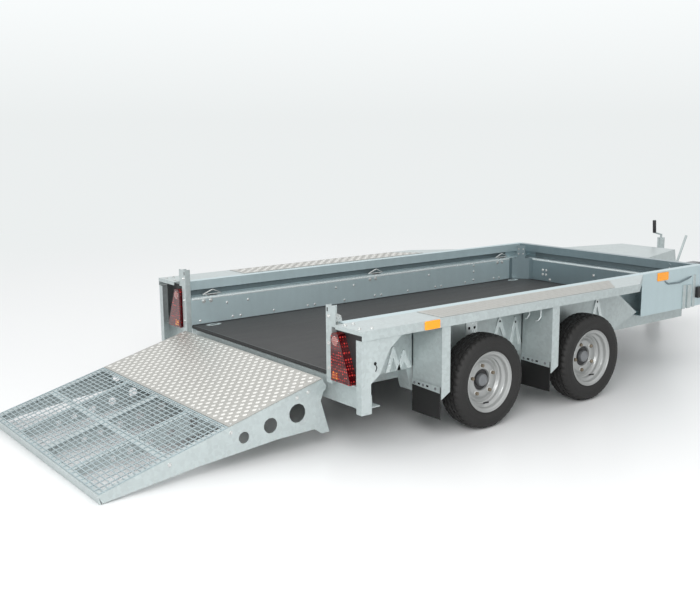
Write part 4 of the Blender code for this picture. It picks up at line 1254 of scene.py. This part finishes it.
@dataclass
class PlatformDresser(Dresser):
    """Chequered bars on the side platforms, and amber reflectors.

    Args:
        inlay_x: nearest and furthest distance out of the marks.
        inlay_y: their rear and front, from the bed's rear edge.
        pitch: distance from one mark to the next.
        reflectors: by columns distance out, rear, front, bottom and top.
        corner: radius of the reflectors' corners.
    """

    inlay_x: Pair = (0.876, 1.061)
    inlay_y: Pair = (0.474, 2.070)
    pitch: float = 0.0340
    reflectors: Table = ((PLATFORM_OUTER, 0.342, 0.445, 0.6235, 0.6685),
                         (WALL_OUTER, 2.615, 2.735, 0.607, 0.663))
    corner: float = 0.006

    def dress(self) -> None:
        """Add the marks and the reflectors."""
        pen = self.pen(Look.TREAD_HIGHLIGHT)
        rear, front = (y + BED_REAR for y in self.inlay_y)
        # The marks that face the light are painted highlight on the left platform, and dull on the right one
        for side, bright in ((-1, Look.TREAD_HIGHLIGHT), (1, Look.RAMP_ALUMINIUM)):
            left, right = sorted(side * x for x in self.inlay_x)
            field = TreadField((left, rear), (right, front), self.pitch, 5, 0.0010)
            field.draw(pen, WALL_TOP + 0.0028, (bright, Look.RAMP_ALUMINIUM), self.on_inlay)
        pen.done("platform_tread_marks", Slot.ALUMINIUM, angle=ROUNDED)
        for name, side in SIDES.items():
            pen = self.pen(Look.REFLECTOR_AMBER)
            for x, y0, y1, z0, z1 in self.reflectors:
                pen.plate(side, x - SEAT, self.rounded(y0, y1, z0, z1), 0.0055)
            pen.done(f"reflectors_{name}", Slot.LAMP, angle=CRISP, bevel=0.0012)

    @staticmethod
    def on_inlay(x: float, y: float) -> bool:
        """Tell whether a point lies on a treadplate, whose front edge slants."""
        return y - BED_REAR < 2.066 - (abs(x) - 0.873)

    def rounded(self, y0: float, y1: float, z0: float, z1: float) -> Table:
        """Give a rectangle with rounded corners.

        Args:
            y0: rear edge.
            y1: front edge.
            z0: lower edge.
            z1: upper edge.

        Returns:
            Its outline, as places along the bed and heights.
        """
        r = self.corner
        centres = ((y1 - r, z1 - r), (y0 + r, z1 - r), (y0 + r, z0 + r), (y1 - r, z0 + r))
        turns = [[(quarter / 2 + k / 6) * pi for k in range(4)] for quarter in range(4)]
        return tuple((y + r * cos(t), z + r * sin(t)) for (y, z), arc in zip(centres, turns) for t in arc)


@dataclass
class RearDresser(Dresser):
    """Lamp windows, recesses, slots, keyholes, bolts and catches at the rear.

    Args:
        lamp_face: place of the lamps' faces along the bed.
        post_face: place of the posts' rear faces.
        recess: the recess's black ground, as spans across, along and up.
        window: distance out and height of the clear round window.
        dome: its profile.
        amber: outline of the amber window, as distances out and heights.
        post_slot: nearest and furthest distance out, and bottom and top, of the slot in the post.
        keyhole: distance out, place along the bed and height of the keyhole.
        strap: points of the strap that hangs from it.
        foot_hole: distance out, place along the bed and height of the hole in the outer post.
        post_bolts: heights of the bolts on the posts.
        post_bolt_x: their distance out.
        top_bolts: distances out and places of the bolts on the platforms' ends.
        catch: outline of the catch, as places along the bed and heights.
        catch_x: how far out its inner face stands.
    """

    lamp_face: float = -0.0523
    post_face: float = -0.0357
    recess: tuple[Pair, Pair, Pair] = ((0.7990, 1.0655), (-0.0052, -0.0041), (0.380, 0.646))
    window: Pair = (0.848, 0.586)
    dome: Table = ((0.024, -0.0005), (0.024, 0.002), (0.018, 0.004))
    amber: Table = ((0.822, 0.390), (0.875, 0.390), (0.868, 0.424), (0.826, 0.424))
    post_slot: tuple[Pair, Pair] = ((0.760, 0.768), (0.722, 0.742))
    keyhole: Triple = (PLATFORM_OUTER - 0.0068, 0.026, 0.500)
    strap: Table = ((0, 0, 0), (0, 0.010, -0.022), (0, 0.002, -0.040))
    foot_hole: Triple = (1.049, -0.0585, 0.300)
    post_bolts: Places = (0.700, 0.560, 0.430)
    post_bolt_x: float = 0.775
    top_bolts: Table = ((0.905, -0.030), (0.905, 0.020), (1.020, -0.030), (1.040, 0.030))
    catch: Table = ((-0.028, 0.672), (0.024, 0.672), (0.016, 0.702), (-0.016, 0.718), (-0.028, 0.712))
    catch_x: float = 0.806

    def dress(self) -> None:
        """Add everything on both rear frames."""
        for name, side in SIDES.items():
            self.lamp(name, side)
            self.marks(name, side)
            self.bolts(name, side)

    def lamp(self, name: str, side: int) -> None:
        """Black ground of the recess, and the clear and amber windows on the lamp's face.

        Args:
            name: side's name.
            side: its sign.
        """
        pen = self.pen(Look.BLACK_PLASTIC)
        pen.block(side, *self.recess)
        pen.done(f"lamp_recess_{name}", Slot.RUBBER, angle=CRISP)
        pen = self.pen(Look.LENS_CLEAR)
        pen.lathe(bed(side * self.window[0], self.lamp_face, self.window[1]), BACK, self.dome, 28)
        pen.paint(Look.LENS_AMBER).panel(side, self.lamp_face + 0.0005, self.amber, 0.0025)
        pen.done(f"lamp_windows_{name}", Slot.LAMP, angle=CRISP)

    def marks(self, name: str, side: int) -> None:
        """Slot and hole in the post, and the keyhole with its strap, drawn near black; the slot, hole and
        keyhole are painted shade.

        Args:
            name: side's name.
            side: its sign.
        """
        pen = self.pen(Look.HOLE_SHADE)
        across, up = self.post_slot
        pen.block(side, across, (self.post_face - 0.0004, self.post_face + 0.0006), up)
        x, y, z = self.keyhole
        keyhole = bed(side * x, y, z)
        pen.disc(keyhole, outward(side), 0.009)
        pen.tube([keyhole + Vector(p) for p in self.strap], 0.0028, 8)
        x, y, z = self.foot_hole
        pen.disc(bed(side * x, y, z), BACK, 0.008)
        pen.done(f"post_slots_{name}", Slot.GALVANISED)

    def bolts(self, name: str, side: int) -> None:
        """Bolts on the post and on the platform's end, and the catch that the raised ramp locks into.

        Args:
            name: side's name.
            side: its sign.
        """
        pen = self.pen(Look.BOLT_ZINC)
        for z in self.post_bolts:
            pen.bolt(bed(side * self.post_bolt_x, self.post_face + 0.0006, z), BACK, 0.012)
        for x, y in self.top_bolts:
            pen.bolt(bed(side * x, y, WALL_TOP), UP, 0.012)
        pen.plate(side, self.catch_x, self.catch, 0.0050)
        pen.done(f"post_bolts_{name}", Slot.GALVANISED)


@dataclass
class SideDresser(Dresser):
    """Flap strips, hooks and stays in the wheel spaces, and the fittings on the front plates.

    Args:
        flap_face: how far the flaps' rear faces lie behind their partitions' places.
        strip: outline of a flap's strip, as distances out and heights.
        strip_bolts: distances out of its bolts.
        strip_slots: distances out of the middles of its slots.
        hooks: distances out of the hooks over the middle flap.
        hook_path: a hook's bar, by columns distance out from the hook, back from the flap and height.
        sheet_x: how far out the sheets' inner faces stand.
        sheets: outlines of the sheets along the chassis rail, as places along the bed and heights.
        stay_x: how far out the stays' inner faces stand.
        stays: the folded stays, by columns middle along the bed, height of the feet and of the peak.
        stay_holes: places and heights of the holes in the stays.
        plate_y: rear and front of the bolted plate.
        plate_z: its bottom and top.
        plate_holes: places of its holes.
        plate_hole_z: their height.
        channels: fittings on the front plate, by columns rise, rear, front and top.
        channel_foot: height of their bottoms.
        rope_hook: its bar, by columns distance out from the plate's face, place along the bed and height.
        marker: the marker block, as its rise from the plate's face and its spans along and up.
    """

    flap_face: float = 0.0053
    strip: Table = ((0.846, 0.276), (1.062, 0.268), (1.062, 0.302), (0.846, 0.306))
    strip_bolts: Places = (0.866, 0.935, 1.030)
    strip_slots: Places = (0.902, 0.968)
    hooks: Places = (0.900, 0.985)
    hook_path: Table = ((0, -0.004, 0.600), (0, 0, 0.575), (0.004, 0.004, 0.555), (-0.006, 0.010, 0.535),
                        (-0.020, 0.014, 0.527))
    sheet_x: float = 0.8394
    sheets: tuple[Table, ...] = (
        ((0.060, 0.362), (0.464, 0.362), (0.464, 0.598), (0.060, 0.598)),
        ((0.480, 0.330), (1.318, 0.330), (1.318, 0.598), (0.480, 0.598)),
        ((1.336, 0.330), (2.180, 0.330), (2.430, 0.420), (2.180, 0.598), (1.336, 0.598)))
    stay_x: float = 0.8416
    stays: Table = ((0.330, 0.366, 0.500), (0.405, 0.366, 0.470), (1.130, 0.440, 0.560),
                    (1.260, 0.372, 0.540), (2.010, 0.440, 0.570))
    stay_holes: Table = ((1.130, 0.530), (1.260, 0.510), (2.010, 0.540))
    plate_y: Pair = (0.861, 0.949)
    plate_z: Pair = (0.476, 0.555)
    plate_holes: Places = (0.884, 0.926)
    plate_hole_z: float = 0.522
    channels: Table = ((0.0075, 2.913, 2.946, 0.550), (0.0110, 2.962, 3.005, 0.546),
                       (0.0050, 3.030, 3.060, 0.610))
    channel_foot: float = 0.384
    rope_hook: Table = ((-0.001, 2.700, 0.600), (0.007, 2.735, 0.578), (0.008, 2.860, 0.574),
                        (0.008, 2.960, 0.592), (-0.001, 3.010, 0.602))
    marker: tuple[float, Pair, Pair] = (0.026, (3.066, 3.140), (0.446, 0.521))

    def dress(self) -> None:
        """Add everything under the platforms and on the front plates."""
        for name, side in SIDES.items():
            self.flap_strips(name, side)
            self.side_sheets(name, side)
            self.front_plate(name, side)

    def flap_strips(self, name: str, side: int) -> None:
        """Strips that clamp the flaps, with their slots and bolts, and two hooks over the middle one.

        Args:
            name: side's name.
            side: its sign.
        """
        pen = self.pen(Look.ZINC)
        faces = [place - self.flap_face for place in PARTITIONS.values()]
        for face in faces:
            pen.panel(side, face + 0.0002, self.strip, 0.0026)
        pen.paint(Look.CAST_ZINC)
        for face in faces:
            for x in self.strip_bolts:
                pen.bolt(bed(side * x, face - 0.0024, 0.287), BACK, 0.009)
        # The hooks are in the bright zinc, painted highlight
        pen.paint(Look.ZINC_HIGHLIGHT)
        top = PARTITIONS["middle"] - 0.0050
        for x in self.hooks:
            pen.tube([bed(side * (x + out), top - back, z) for out, back, z in self.hook_path], 0.0058)
        # Slots in the strips as near-black blocks, painted shade
        pen.paint(Look.HOLE_SHADE)
        for face in faces:
            for x in self.strip_slots:
                pen.block(side, (x - 0.009, x + 0.009), (face - 0.0030, face - 0.0020), (0.283, 0.293))
        pen.done(f"flap_strips_{name}", Slot.GALVANISED)

    def side_sheets(self, name: str, side: int) -> None:
        """Pale stiffening sheets along the chassis rail, with folded stays and a bolted plate on them.

        Args:
            name: side's name.
            side: its sign.
        """
        pen = self.pen(Look.ZINC)
        for outline in self.sheets:
            pen.plate(side, self.sheet_x, outline, 0.0024)
        pen.done(f"side_sheets_{name}", Slot.GALVANISED, angle=CRISP, bevel=0.0006)

        out = outward(side)
        # The stays and the bolted plate are in the bright zinc, painted highlight
        pen = self.pen(Look.ZINC_HIGHLIGHT)
        for middle, foot, peak in self.stays:
            pen.plate(side, self.stay_x, self.stay(middle, foot, peak), 0.0070)
        pen.block(side, (self.stay_x, self.stay_x + 0.006), self.plate_y, self.plate_z)
        # Holes in the stays and the plate as near-black discs, painted shade
        pen.paint(Look.HOLE_SHADE)
        for y in self.plate_holes:
            pen.disc(bed(side * (self.stay_x + 0.006), y, self.plate_hole_z), out, 0.009, 0.0010, 0.0005)
        for y, z in self.stay_holes:
            pen.disc(bed(side * (self.stay_x + 0.007), y, z), out, 0.007, 0.0010, 0.0005)
        pen.done(f"stays_{name}", Slot.GALVANISED, angle=CRISP, bevel=0.0008)

    @staticmethod
    def stay(middle: float, foot: float, peak: float) -> Table:
        """Give the outline of a stay with two legs.

        Args:
            middle: its middle along the bed.
            foot: height of its feet.
            peak: height of its peak.

        Returns:
            Its outline, as places along the bed and heights.
        """
        half, leg, tip, fork = 0.052, 0.026, 0.006, 0.060
        return ((middle - half, foot), (middle - tip, peak), (middle + tip, peak), (middle + half, foot),
                (middle + half - leg, foot), (middle, peak - fork), (middle - half + leg, foot))

    def front_plate(self, name: str, side: int) -> None:
        """Channel, rope hook and end flange on the plate ahead of the platform, and a black marker block.

        Args:
            name: side's name.
            side: its sign.
        """
        pen = self.pen(Look.ZINC)
        for rise, rear, front, top in self.channels:
            pen.block(side, (WALL_OUTER - SEAT, WALL_OUTER + rise), (rear, front), (self.channel_foot, top))
        pen.paint(Look.ZINC_DARK)
        pen.tube([bed(side * (WALL_OUTER + out), y, z) for out, y, z in self.rope_hook], 0.0050)
        pen.done(f"front_plate_fittings_{name}", Slot.GALVANISED, angle=CRISP, bevel=0.0012)
        pen = self.pen(Look.BLACK_PLASTIC)
        rise, along, up = self.marker
        pen.block(side, (WALL_OUTER - SEAT, WALL_OUTER + rise), along, up)
        pen.done(f"marker_block_{name}", Slot.RUBBER, angle=CRISP, bevel=0.0040)


@dataclass
class FrontDresser(Dresser):
    """Grip of the jockey wheel's crank.

    Args:
        grip_foot: middle of the grip's lower end.
        grip_way: direction of its axis.
        grip: its profile, as radii and distances along the axis.
    """

    grip_foot: Triple = (-0.200, 4.0965, 0.737)
    grip_way: Triple = (0, -0.010, 0.108)
    grip: Table = ((0.013, 0.0), (0.0145, 0.004), (0.0145, 0.100), (0.012, 0.108))

    def dress(self) -> None:
        """Add the grip."""
        pen = self.pen(Look.BLACK_PLASTIC).lathe(bed(*self.grip_foot), Vector(self.grip_way), self.grip, 20)
        pen.done("crank_grip", Slot.RUBBER, angle=CRISP)


@dataclass(frozen=True)
class Softbox:
    """A square area lamp.

    Args:
        name: its name.
        place: where it hangs.
        aim: the point that it faces.
        size: length of its sides.
        power: its power in watts.
    """

    name: str
    place: Triple
    aim: Triple
    size: float
    power: float


@dataclass
class Studio:
    """Floor, sky, lamps and camera.

    Args:
        floor_tone: colour of the floor.
        horizon: colour of the surround at the horizon.
        stops: the surround above the horizon, as heights from 0 to 1 with colours.
        dark_end: direction of the studio's darker end.
        lamps: large soft boxes over the trailer and behind it.
        focal_px: focal length in pixels of the photograph.
        width_px: width of the photograph in pixels.
        sensor: width of the camera's sensor in millimetres.
        eye: the camera's place, from the bed's rear edge.
        azimuth: the way that it looks, in degrees round from +Y towards -X.
        pitch: how far it looks down, in degrees.
        roll: how far it is rolled, in degrees.
    """

    floor_tone: Triple = (0.83, 0.835, 0.835)
    horizon: Triple = (0.835, 0.862, 0.862)
    stops: tuple[tuple[float, Triple], ...] = ((0.56, (0.945, 0.972, 0.975)), (0.75, (0.98, 0.99, 1.0)),
                                               (1.0, (1.0, 1.0, 1.0)))
    dark_end: Triple = (0.42, 0.907, 0.0)
    lamps: tuple[Softbox, ...] = (Softbox("top", (-0.5, -0.8, 5.5), (0, 0, 0), 5.0, 30.0),
                                  Softbox("rear", (4.0, -7.0, 3.2), (0, 0.2, 0.4), 3.5, 92.0),
                                  Softbox("side", (3.2, -3.4, 2.4), (-0.8, -1.2, 0.5), 1.8, 62.0))
    focal_px: float = 944.1
    width_px: float = 700.0
    sensor: float = 36.0
    eye: Triple = (4.542, -2.785, 1.635)
    azimuth: float = 52.54
    pitch: float = 10.33
    roll: float = -0.42

    def build(self) -> None:
        """Set up everything round the trailer."""
        self.floor()
        self.sky()
        self.lights()
        self.camera()

    def floor(self) -> None:
        """A wide pale floor with a faint sheen that fades into the horizon."""
        material = bpy.data.materials.new("studio_floor")
        material.use_nodes = True
        tree = Tree(material.node_tree)
        shader = material.node_tree.nodes["Principled BSDF"]
        tree.feed(shader, {"Base Color": (*self.floor_tone, 1), "Roughness": 0.30,
                           "Specular IOR Level": 0.30})
        reach = tree.add("ShaderNodeVectorMath", {0: tree.place()}, operation="LENGTH").outputs["Value"]
        fade = tree.fade(reach, (3.2, 11.0), (0.0, 1.0), "SMOOTHERSTEP")
        glow = tree.add("ShaderNodeEmission", {"Color": (*self.horizon, 1), "Strength": 1.0})
        mix = tree.add("ShaderNodeMixShader", {0: fade, 1: shader.outputs[0], 2: glow.outputs[0]})
        tree.feed(material.node_tree.nodes["Material Output"], {"Surface": mix.outputs[0]})
        mesh = bmesh.new()
        bmesh.ops.create_grid(mesh, x_segments=1, y_segments=1, size=180)
        data = bpy.data.meshes.new("studio_floor")
        mesh.to_mesh(data)
        mesh.free()
        data.materials.append(material)
        floor = bpy.data.objects.new("studio_floor", data)
        floor.location = (0, 0, -0.0005)
        bpy.context.collection.objects.link(floor)

    def sky(self) -> None:
        """A soft white surround, dimmer at the horizon and at one end, which the long walls reflect."""
        world = bpy.data.worlds.new("studio")
        bpy.context.scene.world = world
        world.use_nodes = True
        tree = Tree(world.node_tree)
        place = tree.place("Generated")
        height = tree.add("ShaderNodeSeparateXYZ", {0: place}).outputs["Z"]
        ramp = tree.add("ShaderNodeValToRGB", {0: tree.math("MULTIPLY_ADD", height, 0.5, 0.5)})
        elements = ramp.color_ramp.elements
        for element, position in zip(elements, (0.30, 0.505)):
            element.position = position
            element.color = (*self.horizon, 1)
        for position, colour in self.stops:
            elements.new(position).color = (*colour, 1)
        facing = tree.add("ShaderNodeVectorMath", {0: place, 1: self.dark_end}, operation="DOT_PRODUCT")
        shade = tree.fade(facing.outputs["Value"], (0.80, 0.98), (1.0, 0.38))
        tree.feed(world.node_tree.nodes["Background"], {"Color": tree.scaled(ramp.outputs[0], shade),
                                                        "Strength": 1.0})

    def lights(self) -> None:
        """Hang the lamps."""
        for box in self.lamps:
            data = bpy.data.lights.new(box.name, "AREA")
            data.shape = "SQUARE"
            data.size = box.size
            data.energy = box.power
            lamp = bpy.data.objects.new(box.name, data)
            lamp.location = box.place
            lamp.rotation_euler = (Vector(box.aim) - Vector(box.place)).to_track_quat("-Z", "Y").to_euler()
            bpy.context.collection.objects.link(lamp)

    def camera(self) -> None:
        """The photograph's own viewpoint, solved from the trailer's corners."""
        data = bpy.data.cameras.new("view")
        data.sensor_width = self.sensor
        data.lens = self.focal_px / self.width_px * self.sensor
        data.clip_end = 400
        camera = bpy.data.objects.new("view", data)
        camera.location = bed(*self.eye)
        azimuth, pitch = radians(self.azimuth), radians(self.pitch)
        forward = Vector((-sin(azimuth) * cos(pitch), cos(azimuth) * cos(pitch), -sin(pitch)))
        turn = forward.to_track_quat("-Z", "Y").to_matrix().to_4x4()
        camera.rotation_euler = (turn @ Matrix.Rotation(radians(self.roll), 4, "Z")).to_euler()
        bpy.context.collection.objects.link(camera)
        bpy.context.scene.camera = camera


def finish_nodes(nodes: dict[str, bpy.types.Object], finish: Materials) -> None:
    """Give each node of the solids its material and soft edges.

    Args:
        nodes: objects by node name.
        finish: all materials.
    """
    for name, node in nodes.items():
        look = next((look for start, look in NODE_LOOKS if name.startswith(start)), Look.ZINC)
        node.data.materials.clear()
        node.data.materials.append(finish[look])
        round_edges(node, 0.0008, 1, 50)


def main() -> None:
    """Load the frame, dress it and light it."""
    logging.basicConfig(level=logging.INFO)
    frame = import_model()
    bpy.context.scene.view_settings.view_transform = "Standard"
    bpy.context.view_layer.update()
    finish = Materials()
    finish_nodes(frame["nodes"], finish)
    for dresser in (RampDresser, WheelDresser, BedDresser, PlatformDresser, RearDresser, SideDresser,
                    FrontDresser):
        dresser(finish).dress()
        LOG.info("%s done", dresser.__name__)
    Studio().build()


if __name__ == "__main__":
    main()
